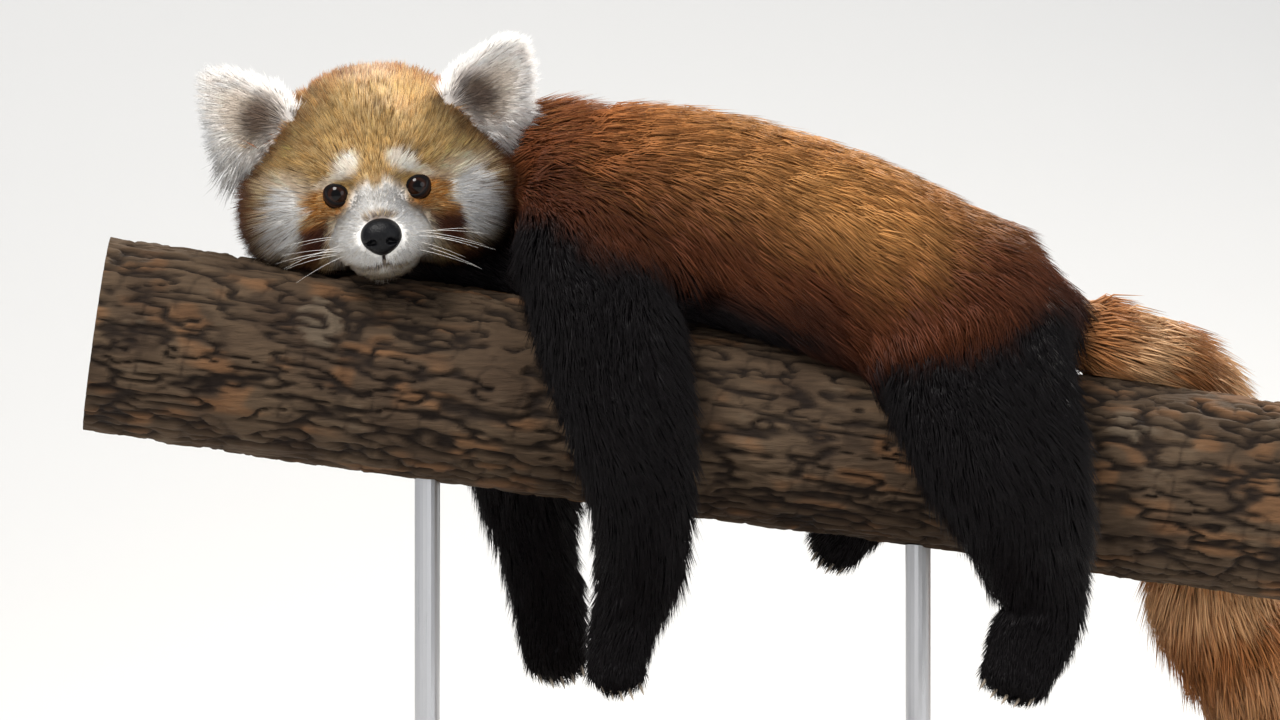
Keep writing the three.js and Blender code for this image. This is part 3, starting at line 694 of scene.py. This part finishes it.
def flow(s):
    """Direction in which the coat lies."""
    p, n, q = s["p"], s["n"], s["q"]
    head, ear, tail, _ = s["shares"]
    trunk = s["weight"]["trunk"] + s["weight"]["neck"]
    lie = s["lie"].copy()
    side = 1 - np.abs(n[:, 2])
    lie[:, 2] -= 0.38 * trunk * side
    lie[:, 2] -= 0.15 * tail
    lie = lie + 0.45 * noise3(p, 30.0, 11) * (1 - head)[:, None]
    # face: away from the nose, up over the brow, out and down over the cheeks
    x, y, z = q[:, 0], q[:, 1], q[:, 2]
    away = norm(xyz(x, (y + 78) * 0.9, (z + 30) * 0.95))  # from a point before the nose
    away[:, 2] -= 0.45 * step(20, 60, np.abs(x)) * step(10, -30, z)
    away = away + 0.2 * noise3(q, 12.0, 21)
    lie = mix(lie, away @ HEAD_TURN.T, head)
    lie = mix(lie, ear_way(q) @ HEAD_TURN.T, ear)
    return norm(level(lie, n))


def mirror(q):
    """Turns the right side into the left one."""
    return np.where(q[:, :1] < 0, np.array([-1.0, 1, 1]), 1.0)


def ear_way(q):
    """Out from the ear's root towards its rim."""
    way = norm(q - EAR_ROOT * mirror(q))
    way[:, 2] -= 0.9 * step(34, 8, q[:, 2])
    return norm(way)


def on_eye(q, wide, high):
    """Below 1 inside an ellipse round an eye, slanted as the eye is."""
    u, v = spin(np.abs(q[:, 0]) - EYE_AT[0], q[:, 2] - EYE_AT[1], EYE_SLANT)
    return np.hypot(u / wide, v / high) + 9 * (q[:, 1] > -15)


def grow(seed):
    """Roots of the tufts on the skin, with the normal at each."""
    rng = np.random.default_rng(seed)
    corner = skin_points[skin_quads]
    area = np.linalg.norm(quad_normals(corner), axis=1) / 2
    middle = corner.mean(axis=1)
    s = describe(middle, norm(skin_normals[skin_quads].mean(axis=1)))
    head, ear, tail, limb = s["shares"]
    q = s["q"]
    # tufts per square millimetre
    density = mix(mix(0.72, 0.42, limb), 0.42, tail)
    density = mix(density, 1.15 + 1.75 * step(30, -8, q[:, 1]) + 0.9 * step(-34, -56, q[:, 1]), head)
    density = mix(density, 2.3, ear)
    a, r, angle = log_frame(middle)
    density *= step(1.0, 3.0, r - log_radius(a, angle))
    density *= on_eye(q, 6.8, 5.2) > 1
    nose = np.hypot(q[:, 0] / NOSE_HALF[0], (q[:, 2] - NOSE_UP) / NOSE_HALF[2])
    density *= np.where((nose < 0.97) & (q[:, 1] < -50), 0, 1)
    count = np.floor(density * area + rng.random(len(area))).astype(int)
    chosen = np.repeat(np.arange(len(count)), count)
    u, v = rng.random(len(chosen))[:, None], rng.random(len(chosen))[:, None]
    root, n = ((a[:, 0] * (1 - u) + a[:, 1] * u) * (1 - v) + (a[:, 3] * (1 - u) + a[:, 2] * u) * v
               for a in (corner[chosen], skin_normals[skin_quads[chosen]]))
    return rng, root, norm(n)


def sizes(s):
    """Length, width and the lift of the lower and upper half of each tuft."""
    head, ear, tail, limb = s["shares"]
    q = s["q"]
    limb_t = sum(s["weight"][name] * s["along"][name] for name in LIMBS) / np.maximum(limb, 1e-3)
    tail_t = np.clip(s["along"]["tail"], 0, 1)
    length = mix(30, 21 - 13 * step(0.5, 0.97, limb_t), limb)
    length = mix(length, 29 + 9 * np.sin(tail_t * math.pi), tail)
    width = mix(1.1, 1.25 - 0.35 * step(0.5, 0.92, limb_t), limb)
    width = mix(width, 1.5, tail)
    lift = mix(0.42, 0.5, tail)
    tip_lift = mix(0.14, 0.2, tail)
    # face: shortest on the muzzle and round the eyes, long on the cheeks
    x, y, z = sided(q)
    muzzle = step(-34, -56, y)
    back = step(-25, 25, y)
    face = 11.5 - 6.6 * muzzle + 8 * back + 10 * step(36, 58, x) * step(16, -10, z) + 2 * step(10, 40, z)
    near_eye = step(2.6, 1.2, on_eye(q, 7, 5.4))
    length = mix(length, face * (1 - 0.55 * near_eye), head)
    width = mix(width, 0.68 - 0.2 * muzzle - 0.1 * near_eye + 0.4 * back, head)
    lift = mix(lift, 0.42 - 0.1 * muzzle - 0.18 * near_eye + 0.14 * step(50, 64, x), head)
    tip_lift = mix(tip_lift, 0.16, head)
    # ears: hairs stand out round the rim, longest low on the outer side
    turned = s["n"] @ HEAD_TURN
    rim = step(0.55, 0.86, s["ear_out"])
    rel = q * mirror(q) - EAR_MIDDLE
    low_outer = np.clip(np.cos(np.arctan2(rel @ ear_up, rel @ ear_across) + 0.7), 0, 1) ** 4
    length = mix(length, 6.8 + (1.2 + 19 * low_outer) * rim, ear)
    width = mix(width, 0.62, ear)
    out = np.clip(dot(turned, ear_way(q)), 0, 1)
    lift = mix(lift, 0.22 + 0.9 * out**2, ear)
    tip_lift = mix(tip_lift, 0.12 + 0.75 * out**2, ear)
    return length, width, lift, tip_lift


CELLS = 8192  # more than there are along any side


def clump(root, spacing):
    """Gathers tufts within about `spacing`: the middle of each tuft's clump, and the clump's number."""
    turned = root @ norm(np.array([[0.8, 0.36, -0.48], [-0.6, 0.48, -0.64], [0, 0.8, 0.6]]))
    warped = turned / spacing + 0.45 * noise3(root, spacing * 1.7, 90)
    cell = np.floor(warped).astype(np.int64)
    key = (cell + CELLS // 2) @ [CELLS * CELLS, CELLS, 1]
    _, number = np.unique(key, return_inverse=True)
    count = np.bincount(number)
    middle = np.stack([np.bincount(number, root[:, k]) for k in range(3)], -1) / count[:, None]
    return middle[number], number


def push_from_log(p, clearance):
    a, r, angle = log_frame(p)
    wanted = log_radius(a, angle) + clearance
    inside = (r < wanted) & (np.abs(a) < LOG_HALF)
    foot = a[:, None] * LOG_AXIS + LOG_MIDDLE
    return np.where(inside[:, None], foot + norm(p - foot) * wanted[:, None], p)


# A tuft is a closed three-sided spike: bent in two lengths on the body, of one length where it is short
BENT = np.array([[0, 2, 1], [0, 3, 2], [2, 3, 5], [2, 5, 1], [1, 5, 4], [1, 4, 0], [0, 4, 3],
                 [3, 6, 5], [5, 6, 4], [4, 6, 3]])
SHORT = np.array([[0, 2, 1], [0, 3, 2], [2, 3, 1], [1, 3, 0]])
PATCH = np.array([[-1, -1], [1, -1], [0, -1], [-0.7, 0], [0.7, 0], [0, 0], [0, 1]]) * 0.0015


# Each coat: its name and slot, the spacing of its clumps, and how far their tips are drawn together
COATS = (("ears", "ear_fur", 2.4, 0.45), ("head", "face_fur", 2.9, 0.75), ("tail", "tail_fur", 7.0, 0.5),
         ("legs", "leg_fur", 5.0, 0.45), ("body", "back_fur", 5.0, 0.55))
CLUMP_NUMBERS = 100000  # room for the clumps of one coat
PIECE_LIMIT = 195000  # triangles
SHOWN = 0.42  # the markings lie where a tuft shows, this share of its length from its root


def tuft_shapes(s, rng, middle, pull, of_clump, of_tuft):
    """Corners of each tuft, bent and short, and the place where it shows."""
    root, n = s["p"], s["n"]
    head, ear, _, _ = s["shares"]
    pull = pull * (1 - 0.5 * step(-30, -45, s["q"][:, 1]) * head)[:, None]
    length, width, lift, tip_lift = sizes(s)
    length = length * (1 + 0.14 * of_clump[0] + 0.16 * of_tuft[0])
    width = width * (1 + 0.25 * of_tuft[1])
    lift = (lift * (1 + 0.25 * of_clump[1] + 0.25 * of_tuft[2]))[:, None]
    tip_lift = (tip_lift + 0.08 * of_clump[1] + 0.1 * of_tuft[3])[:, None]
    lie = flow(s)
    side = np.cross(n, lie)
    turn = (0.14 * of_clump[2] + rng.normal(0, 0.09, len(root)))[:, None]
    lie = norm(lie * np.cos(turn) + side * np.sin(turn))
    side = np.cross(n, lie)
    half = (length / 2)[:, None]
    drop = np.zeros((len(root), 3))
    drop[:, 2] = -0.08 * length * (1 - head) * (1 - ear)
    inward = level(middle - root, n)
    p0 = root - n * np.minimum(1.2, width)[:, None]
    p1 = root + half * (lie * np.cos(lift) + n * np.sin(lift)) + inward * pull * 0.4
    p2 = p1 + half * (lie * np.cos(tip_lift) + n * np.sin(tip_lift)) + drop + inward * pull * 0.6
    p1, p2 = push_from_log(p1, 1.4), push_from_log(p2, 1.0)
    w = (width / 2)[:, None]
    foot = [p0 + side * w, p0 - side * w, p0 + n * w * 0.9]
    waist = [p1 + side * w * 0.8, p1 - side * w * 0.8, p1 + n * w * 0.7]
    shown = root + lie * length[:, None] * SHOWN
    return np.stack(foot + waist + [p2], axis=1), np.stack(foot + [p2], axis=1), shown


def tuft_colours(s, shown, draw, of_clump, of_tuft):
    """Colours of the corners of each tuft, bent and short: darkened at the root as painted shade between the
    tufts, brighter at the tip.
    """
    root = s["p"]
    head, ear, _, _ = s["shares"]
    base = markings_and_painted_light(dict(s, p=shown, q=to_head(shown)))
    bright = base.mean(axis=1)
    tone = 1 + (0.13 + 0.22 * head) * of_clump[3] + 0.14 * of_tuft[0] + 0.08 * noise(root, 16.0, 41)
    # painted light: the pale tufts of the ears keep a slightly higher tone
    tone = mix(tone, 0.35 + 0.08 * ear + 0.65 * tone, step(0.4, 0.7, bright))
    tan = head * step(0.1, 0.2, bright) * step(0.6, 0.45, bright)
    strand = step(0.2, 0.5, noise(root, 2.2, 43)) - step(-0.2, -0.5, noise(root, 2.2, 43))
    flank = (1 - head) * (1 - ear) * step(0.03, 0.1, bright)
    pale = step(0.5, 0.75, bright) * (1 - ear)
    tip = layers(
        base * (tone * 1.25)[:, None],
        (base * 0.35, np.clip((draw < 0.2) + 0.45 * (strand < -0.3), 0, 1) * tan * 0.9),
        (STRAW, np.clip((draw > 0.7) * 0.6 + 0.35 * (strand > 0.3), 0, 0.8) * tan),
        (GOLD * 1.1, (draw > 0.8) * flank * 0.4),
        (base * 0.45, (draw < 0.18) * flank),
        (CREAM * 0.75, (draw < 0.25) * pale * 0.7),
        (TICK * 1.2, (draw > 0.93) * pale * head * step(34, 44, np.abs(s["q"][:, 0]))))
    # painted light: the ears may be brighter than the rest of the coat, lifting the shade in their cups
    brightest = 0.85 + 0.1 * ear[:, None]
    tip = np.clip(tip, 0, brightest)
    waist = np.clip(base * tone[:, None], 0, brightest)
    # painted shade at the roots: the foot of each tuft is darkened, less on pale coat and on the ears, more
    # on tan
    foot = base * (0.42 + (0.34 + 0.18 * ear) * step(0.35, 0.7, bright) - 0.16 * tan)[:, None]
    return np.stack([foot] * 3 + [waist] * 3 + [tip], axis=1), np.stack([foot * 1.1] * 3 + [tip], axis=1)


def coat():
    rng, root, n = grow(5)
    s = describe(root, n)
    head, ear, tail, limb = s["shares"]
    group = np.select([ear > 0.5, head > 0.5, tail > 0.5, limb > 0.5], [0, 1, 2, 3], 4)
    middle = np.empty_like(root)
    number = np.empty(len(root), int)
    for g, (_, _, spacing, _) in enumerate(COATS):
        members = np.flatnonzero(group == g)
        middle[members], number[members] = clump(root[members], spacing)
        number[members] += CLUMP_NUMBERS * g
    clumps = CLUMP_NUMBERS * len(COATS) + 1
    of_clump = np.random.default_rng(9).uniform(-1, 1, (4, clumps))[:, number]
    of_tuft = rng.uniform(-1, 1, (4, len(root)))
    pull = np.array([c[3] for c in COATS])[group][:, None]
    *shapes, shown = tuft_shapes(s, rng, middle, pull, of_clump, of_tuft)
    colourings = tuft_colours(s, shown, rng.random(len(root)), of_clump, of_tuft)
    uv_root = unwrap(s)
    for g, (name, slot, _, _) in enumerate(COATS):
        is_short = name not in ("tail", "body")
        points, colours = shapes[is_short], colourings[is_short]
        faces, patch = (SHORT, PATCH[[0, 1, 2, 6]]) if is_short else (BENT, PATCH)
        members = np.flatnonzero(group == g)
        members = members[np.argsort(root[members, 0], kind="stable")]
        parts = max(1, math.ceil(len(members) * len(faces) / PIECE_LIMIT))
        for i, chunk in enumerate(np.array_split(members, parts)):
            triangles = (faces[None] + len(patch) * np.arange(len(chunk))[:, None, None]).reshape(-1, 3)
            obj = make_mesh(f"coat_{name}_{i + 1}", points[chunk].reshape(-1, 3), triangles,
                            LEG_FUR if name == "legs" else FUR, colours[chunk].reshape(-1, 3))
            layer = obj.data.uv_layers.new(name="OFBake")
            flat = (uv_root[chunk][:, None] + patch[None]).reshape(-1, 2)[triangles.ravel()]
            layer.data.foreach_set("uv", flat.astype(np.float32).ravel())


coat()


# Eyes, nose, lips, whiskers and claws
def ring_quads(rings, sides):
    """Quads between rings of points that follow each other."""
    i, j = np.meshgrid(np.arange(rings - 1), np.arange(sides), indexing="ij")
    a, b = i * sides + j, i * sides + (j + 1) % sides
    return np.stack([a, a + sides, b + sides, b], -1).reshape(-1, 4)


def closed_rings(rings, sides):
    """Triangles of rings of points that are closed by two more points, for the first and the last ring."""
    j = np.arange(sides)
    k, last, pole = (j + 1) % sides, (rings - 1) * sides, np.full(sides, rings * sides)
    caps = np.stack([pole, k, j, pole + 1, last + j, last + k], -1).reshape(-1, 3)
    return np.vstack([ring_quads(rings, sides)[:, [0, 3, 2, 0, 2, 1]].reshape(-1, 3), caps])


def sphere(rows, columns):
    theta = np.linspace(0, math.pi, rows + 1)[1:-1]
    phi = np.linspace(0, 2 * math.pi, columns, endpoint=False)
    ring = xyz(np.outer(np.sin(theta), np.cos(phi)), -np.repeat(np.cos(theta)[:, None], columns, 1),
               np.outer(np.sin(theta), np.sin(phi))).reshape(-1, 3)
    return np.vstack([ring, [[0, -1, 0], [0, 1, 0]]]), closed_rings(rows - 1, columns)


def tube(line, radii, sides=6):
    """A closed, tapered tube along a line of points."""
    line = np.asarray(line, float)
    along = norm(np.gradient(line, axis=0))
    side = norm(np.cross(along, [0.13, 0.2, 0.97]))
    other = np.cross(along, side)
    turn = np.linspace(0, 2 * math.pi, sides, endpoint=False)
    rings = line[:, None] + np.asarray(radii)[:, None, None] * (
        side[:, None] * np.cos(turn)[None, :, None] + other[:, None] * np.sin(turn)[None, :, None])
    return np.vstack([rings.reshape(-1, 3), line[:1], line[-1:]]), closed_rings(len(line), sides)


def gather(pieces):
    """One mesh of several."""
    starts = np.cumsum([0] + [len(points) for points, _ in pieces])
    return np.vstack([p for p, _ in pieces]), np.vstack([f + start for (_, f), start in zip(pieces, starts)])


eye_y = face_depth(*EYE_AT)[0] + EYE_RADIUS - EYE_PROUD
GLASS = tinted_look("eye", 0.05, 0.2)
LID = tinted_look("lid", 0.55, 0.12)
LID_SIDES, LID_BEND, LID_WIDE, LID_HIGH, LID_LOW = 64, 1.75, 6.1, 4.5, 4.3
# Rings of the lid: angle out from the opening, height above the eye, and share of the outer colour
LID_RINGS = ((-0.05, -0.3, 0), (0.0, 0.2, 0), (0.05, 0.55, 0), (0.12, 0.75, 0.1), (0.22, 0.7, 0.7),
             (0.4, 0.2, 1), (0.8, -1.5, 1))


def lid_mesh(sign):
    """A shell round the eye with an almond opening, its outer corner up, and its colours."""
    turn = np.linspace(0, 2 * math.pi, LID_SIDES, endpoint=False)
    c, s_ = np.cos(turn), np.sin(turn)
    high = np.where(s_ > 0, LID_HIGH, LID_LOW)
    opening = ((np.abs(c) / LID_WIDE) ** LID_BEND + (np.abs(s_) / high) ** LID_BEND) ** (-1 / LID_BEND)
    start = np.arcsin(opening / EYE_RADIUS)
    points, colours = [], []
    for spread, lift, shade in LID_RINGS:
        theta = start + spread
        u, v = (np.sin(theta) * part for part in spin(c, s_, -EYE_SLANT))
        points.append(xyz(u * sign, -np.cos(theta), v) * (EYE_RADIUS + lift))
        colours.append(np.broadcast_to(mix(srgb(16, 12, 12), srgb(58, 38, 28), shade), (LID_SIDES, 3)))
    faces = ring_quads(len(LID_RINGS), LID_SIDES)
    return np.vstack(points), faces if sign > 0 else faces[:, ::-1], np.vstack(colours)


for name, sign in (("left", 1), ("right", -1)):
    ball, faces = sphere(28, 40)
    gaze = norm(np.array([0.04 * sign, -1, 0.0]))
    off = np.arccos(np.clip(ball @ gaze, -1, 1))
    iris = mix(np.broadcast_to(srgb(40, 23, 15), ball.shape), srgb(8, 6, 6), step(0.38, 0.32, off))
    iris = mix(iris, srgb(16, 10, 9), step(0.56, 0.68, off))
    centre = np.array([EYE_AT[0] * sign, eye_y, EYE_AT[1]])
    eye = make_mesh(f"eye_{name}_glass", from_head(ball * EYE_RADIUS + centre), faces, GLASS, iris)
    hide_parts(f"eye_{name}")
    points, faces, colours = lid_mesh(sign)
    lid = make_mesh(f"lid_{name}", from_head(points + centre), faces, LID, colours)

nose_y = face_depth(0.0, NOSE_UP)[0] + NOSE_HALF[1] - NOSE_PROUD


def nose_mesh():
    cell, low = 0.45, np.array([-15.0, -16, -15])
    q = lattice(low, cell, (0, 0, 0), (-2 * low / cell).astype(int))
    x, y, z = sided(q)
    width = NOSE_HALF[0] * (1 - 0.38 * np.clip(-z / 10, 0, 1) ** 1.6 - 0.1 * np.clip(z / 10, 0, 1) ** 2)
    k = np.abs(x / width) ** 2.3 + np.abs(y / NOSE_HALF[1]) ** 2.2 + np.abs(z / NOSE_HALF[2]) ** 2.3
    d = (k ** (1 / 2.25) - 1) * 9
    hole = ellipsoid(x, y, z, (4.9, -NOSE_HALF[1] * 0.88, -3.0), (2.2, 3.2, 1.7))
    slit = ellipsoid(x, y, z, (7.6, -NOSE_HALF[1] * 0.66, -3.4), (2.9, 2.6, 0.8))
    d = -smin(-d, smin(hole, slit, 1.2), 1.6)
    groove = np.hypot(x, (y + NOSE_HALF[1] + 0.3) * 0.8) - 0.9 + 4 * step(-2, 1, z)
    d = -smin(-d, groove, 1.2)
    points, quads = surface(d, 3.0, cell, low)
    return points, face_outward(points, quads)


NOSE = Look("nose", 0.38, 0.2, colour=srgb(13, 13, 16))
grain = NOSE.node("TexVoronoi", "Distance", Vector=NOSE.node("TexCoord", "Object"), Scale=900.0, Detail=4.0)
NOSE.bump(grain, 0.35, 0.0004)
points, faces = nose_mesh()
nose = make_mesh("nose_pad", from_head(points + [0, nose_y, NOSE_UP]), faces, NOSE)
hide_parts("nose")

lips = []
for sign in (1, -1):
    fine = curve(np.column_stack([MOUTH, np.zeros(len(MOUTH))]), np.linspace(0, 1, 30))
    y = face_depth(np.abs(fine[:, 0]), fine[:, 1]) - 0.5 + 1.1 * step(3, 15, fine[:, 0])
    line = np.column_stack([fine[:, 0] * sign, y, fine[:, 1]])
    lips.append(tube(from_head(line), np.linspace(0.6, 0.12, 30)))
points, faces = gather(lips)
lip = make_mesh("lip_line", points, faces, LID, np.broadcast_to(srgb(34, 24, 24), points.shape))

def hair(sign, x, z, way, length, bend, thick):
    """A single stiff hair that stands on the face."""
    y = face_depth(x, z)[0] + 1
    s = np.linspace(0, 1, 7)[:, None]
    line = np.array([x, y, z]) + norm(np.array(way)) * s * length + bend * s**2
    line[:, 0] *= sign
    return tube(from_head(line), np.linspace(*thick, 7), 4)


rng = np.random.default_rng(77)
whiskers, lashes = [], []
for sign in (1, -1):
    for _ in range(9):
        x, z = rng.uniform(15, 25), rng.uniform(-45, -33)
        way = 1.0, rng.uniform(-0.25, 0.35), rng.uniform(-0.4, 0.15)
        length = rng.uniform(24, 42)
        whiskers.append(hair(sign, x, z, way, length, np.array([0, 0.22, -0.12]) * length, (0.11, 0.04)))
    for _ in range(4):
        x, z = rng.uniform(16, 25), rng.uniform(1, 6)
        way = rng.uniform(-0.1, 0.6), -0.35, 1.0
        lashes.append(hair(sign, x, z, way, 17, np.array([0, 5.0, -2]), (0.15, 0.05)))
for name, lines, colour in (("whiskers", whiskers, (236, 232, 226)), ("brow_hairs", lashes, (50, 38, 30))):
    look = Look(name, 0.4, 0.4, colour=srgb(*colour))
    make_mesh(name, *gather(lines), look)

CLAW_LENGTH, CLAW_BEND, CLAW_RADIUS = 12.5, 3.6, 1.6
claws = []
for name in LIMBS:
    way = norm(np.array(CLAW_WAYS[name]))
    bend = norm(np.cross(PARTS[name].side[-1], way))
    for place, along in toes(name):
        s = np.linspace(0, 1, 9)[:, None]
        line = place + along * 1.5 + way * s * CLAW_LENGTH - bend * CLAW_BEND * s**2
        claws.append(tube(line, CLAW_RADIUS * (1 - s[:, 0]) ** 0.7 + 0.1, 8))
CLAW = Look("claw", 0.32, 0.5)
horn = CLAW.ramp(CLAW.noise(240.0, 3.0), (0.0, srgb(110, 96, 82)), (1.0, srgb(196, 182, 162)))
CLAW.feed("Base Color", horn)
make_mesh("claws", *gather(claws), CLAW)


# Log with furrowed bark. Knots: place along the log, angle round it, size
KNOTS = ((-215, -1.1, 11), (-60, -2.0, 9), (232, -1.0, 10), (-240, 1.6, 12), (70, 2.5, 12))
BARK_COLUMNS, BARK_ROWS = ((400, 230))


def bark():
    a = np.linspace(-LOG_HALF, LOG_HALF, BARK_COLUMNS)
    angle = np.linspace(0, 2 * math.pi, BARK_ROWS, endpoint=False)
    A, T = np.meshgrid(a, angle, indexing="ij")
    c, s_ = np.cos(T), np.sin(T)
    ring = xyz(A, LOG_RADIUS * s_, LOG_RADIUS * c)
    warp = xyz(noise(ring, 34.0, 51), noise(ring, 26.0, 52), noise(ring, 26.0, 53))
    q = ring + np.array([4.0, 2.6, 2.6]) * warp
    # plates between long furrows that split and join along the log
    furrow = np.abs(noise(q * [0.19, 1, 1], 5.4, 61) + 0.45 * noise(q * [0.3, 1, 1], 2.9, 62))
    plate = step(0.03, 0.34, furrow)
    cross = step(0.0, 0.15, np.abs(noise(q * [0.6, 0.5, 0.5], 8.0, 64)))
    fine = np.abs(noise(q * [0.25, 1, 1], 2.1, 65))
    height = 2.6 * plate * (0.72 + 0.28 * cross) + 0.9 * fine * plate + 0.9 * noise(q, 20.0, 63) - 0.9
    knots = 0
    for ka, kt, size in KNOTS:
        far = np.hypot(A - ka, LOG_RADIUS * ((T - kt + math.pi) % (2 * math.pi) - math.pi)) / size
        knots = knots + 4.0 * np.exp(-far**2) - 2.4 * np.exp(-((far - 0.1) * 2.6) ** 2)
    height = height + knots - 1.0
    radius = (log_radius(A, T) + height - 0.4)[..., None]
    points = A[..., None] * LOG_AXIS + radius * c[..., None] * LOG_UP + LOG_MIDDLE
    points = points + radius * s_[..., None] * np.array([0, 1.0, 0])
    warm = step(0.2, 0.8, noise(q * [0.4, 1, 1], 7.0, 72) + 0.5 * noise(q, 30.0, 73)) * plate
    colour = layers(
        np.broadcast_to(srgb(64, 51, 40), points.shape),
        (srgb(86, 71, 56), 0.5 + 0.5 * noise(q, 24.0, 71)),
        (srgb(132, 92, 60), warm * 0.4),
        (srgb(112, 101, 86), step(1.4, 2.6, height) * 0.4))
    # painted shade: the furrows and the cross cracks in the plates are darkened nearly to black
    return points, mix(srgb(26, 20, 17), colour, 0.1 + 0.9 * plate * (0.55 + 0.45 * cross))


BARK = Look("bark", 0.9, 0.2)
rough = BARK.noise(420.0, 8.0, (0.16, 1, 1))
BARK.feed("Base Color", BARK.scale(BARK.tint(), BARK.span(rough, 0.45, 1.45)))
BARK.bump(rough, 1.0, 0.0018)
bark_points, colour = bark()
log = make_mesh("log_bark", bark_points.reshape(-1, 3), ring_quads(BARK_COLUMNS, BARK_ROWS), BARK,
                colour.reshape(-1, 3))
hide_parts("perch_log")

WOOD = tinted_look("sawn_wood", 0.75, 0.3)
END_RINGS = 45
for name, ring, sign in (("head", bark_points[0], -1), ("tail", bark_points[-1], 1)):
    centre = ring.mean(axis=0)
    shares = np.linspace(1, 0.02, END_RINGS)
    points = np.vstack([centre + (ring - centre) * share for share in shares] + [centre[None]])
    quads = ring_quads(END_RINGS, BARK_ROWS)
    if sign > 0:
        quads = quads[:, ::-1]
    far = np.linalg.norm(points - centre, axis=1)
    ripple = far + 1.6 * noise(points, 16.0, 81) + 0.8 * np.sin(far * 0.31)
    rings_tone = (0.5 + 0.5 * np.sin(ripple * 1.35)) ** 3
    shade = layers(np.broadcast_to(srgb(196, 160, 116), points.shape), (srgb(160, 118, 78), rings_tone),
                   (srgb(84, 58, 42), step(46, 50, far)))
    end = make_mesh(f"log_end_{name}", points, quads, WOOD, shade)


# Stand
STAND_WOOD = Look("stand_wood", 0.32, 0.5)
streak = STAND_WOOD.noise(60.0, 6.0, (0.12, 1, 1))
STAND_WOOD.feed("Base Color", STAND_WOOD.ramp(streak, (0.3, srgb(36, 24, 18)), (0.72, srgb(72, 48, 34))))
STEEL = Look("stand_steel", 0.3, 0.5, 1.0, (0.62, 0.62, 0.63))
STEEL.feed("Roughness", STEEL.span(STEEL.noise(500.0, 2.0, (1, 1, 0.02)), 0.22, 0.42))
for name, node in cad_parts.items():
    if name.startswith("stand"):
        node.data.materials.clear()
        node.data.materials.append((STAND_WOOD if name == "stand_base" else STEEL).material)

# Studio: a pale floor that curves up behind, soft lights and the camera. The floor's back is clear, for a
# look from behind
FLOOR = Look("studio", 0.9, 0.1, colour=(0.72, 0.72, 0.71))
side = FLOOR.node("NewGeometry", "Backfacing")
through = FLOOR.node("BsdfTransparent", "BSDF")
blend = FLOOR.node("MixShader", "Shader", Fac=side)
FLOOR.links.new(FLOOR.shader.outputs["BSDF"], blend.node.inputs[1])
FLOOR.links.new(through, blend.node.inputs[2])
FLOOR.links.new(blend, FLOOR.nodes["Material Output"].inputs["Surface"])
FLOOR_WIDE, FLOOR_FRONT, FLOOR_BEND, BEND_RADIUS, WALL_TOP = 8.0, -6.0, 1.6, 1.2, 6.0
bend = [[FLOOR_BEND + BEND_RADIUS * math.sin(t), BEND_RADIUS * (1 - math.cos(t))]
        for t in np.linspace(0, math.pi / 2, 16)]
profile = [[FLOOR_FRONT, 0.0], *bend, [FLOOR_BEND + BEND_RADIUS, WALL_TOP]]
mesh = bpy.data.meshes.new("studio")
mesh.from_pydata([(x, y, z) for y, z in profile for x in (-FLOOR_WIDE, FLOOR_WIDE)], [],
                 [(2 * i, 2 * i + 1, 2 * i + 3, 2 * i + 2) for i in range(len(profile) - 1)])
mesh.materials.append(FLOOR.material)
mesh.polygons.foreach_set("use_smooth", [True] * len(mesh.polygons))
studio = put("studio", mesh)


def area_light(name, where, target, size, power, colour):
    light = bpy.data.lights.new(name, "AREA")
    light.shape = "DISK"
    light.size = size
    light.energy = power
    light.color = colour
    way = Vector(np.subtract(target, where))
    put(name, light, where, way.to_track_quat("-Z", "Y").to_euler())


area_light("key", (-0.9, -1.5, 2.1), (0, 0, 0.28), 1.0, 66, (1.0, 0.97, 0.93))
area_light("fill", (1.6, -2.0, 0.9), (0, 0, 0.25), 1.6, 15, (0.95, 0.97, 1.0))
area_light("rim", (0.8, 1.3, 1.7), (0, 0, 0.3), 0.8, 60, (1.0, 0.95, 0.88))
world = bpy.data.worlds.new("world")
scene.world = world
world.use_nodes = True
background = world.node_tree.nodes["Background"]
background.inputs["Color"].default_value = (0.9, 0.93, 1.0, 1)
background.inputs["Strength"].default_value = 0.55

CAMERA_FAR, VIEW_WIDTH, SENSOR = 9.0, 0.704, 36.0
camera_data = bpy.data.cameras.new("camera")
camera_data.sensor_width = SENSOR
camera_data.lens = SENSOR * CAMERA_FAR / VIEW_WIDTH
scene.camera = put("camera", camera_data, (-0.033, -CAMERA_FAR, 0.2585), (math.pi / 2, 0, 0))
scene.view_settings.view_transform = "Standard"
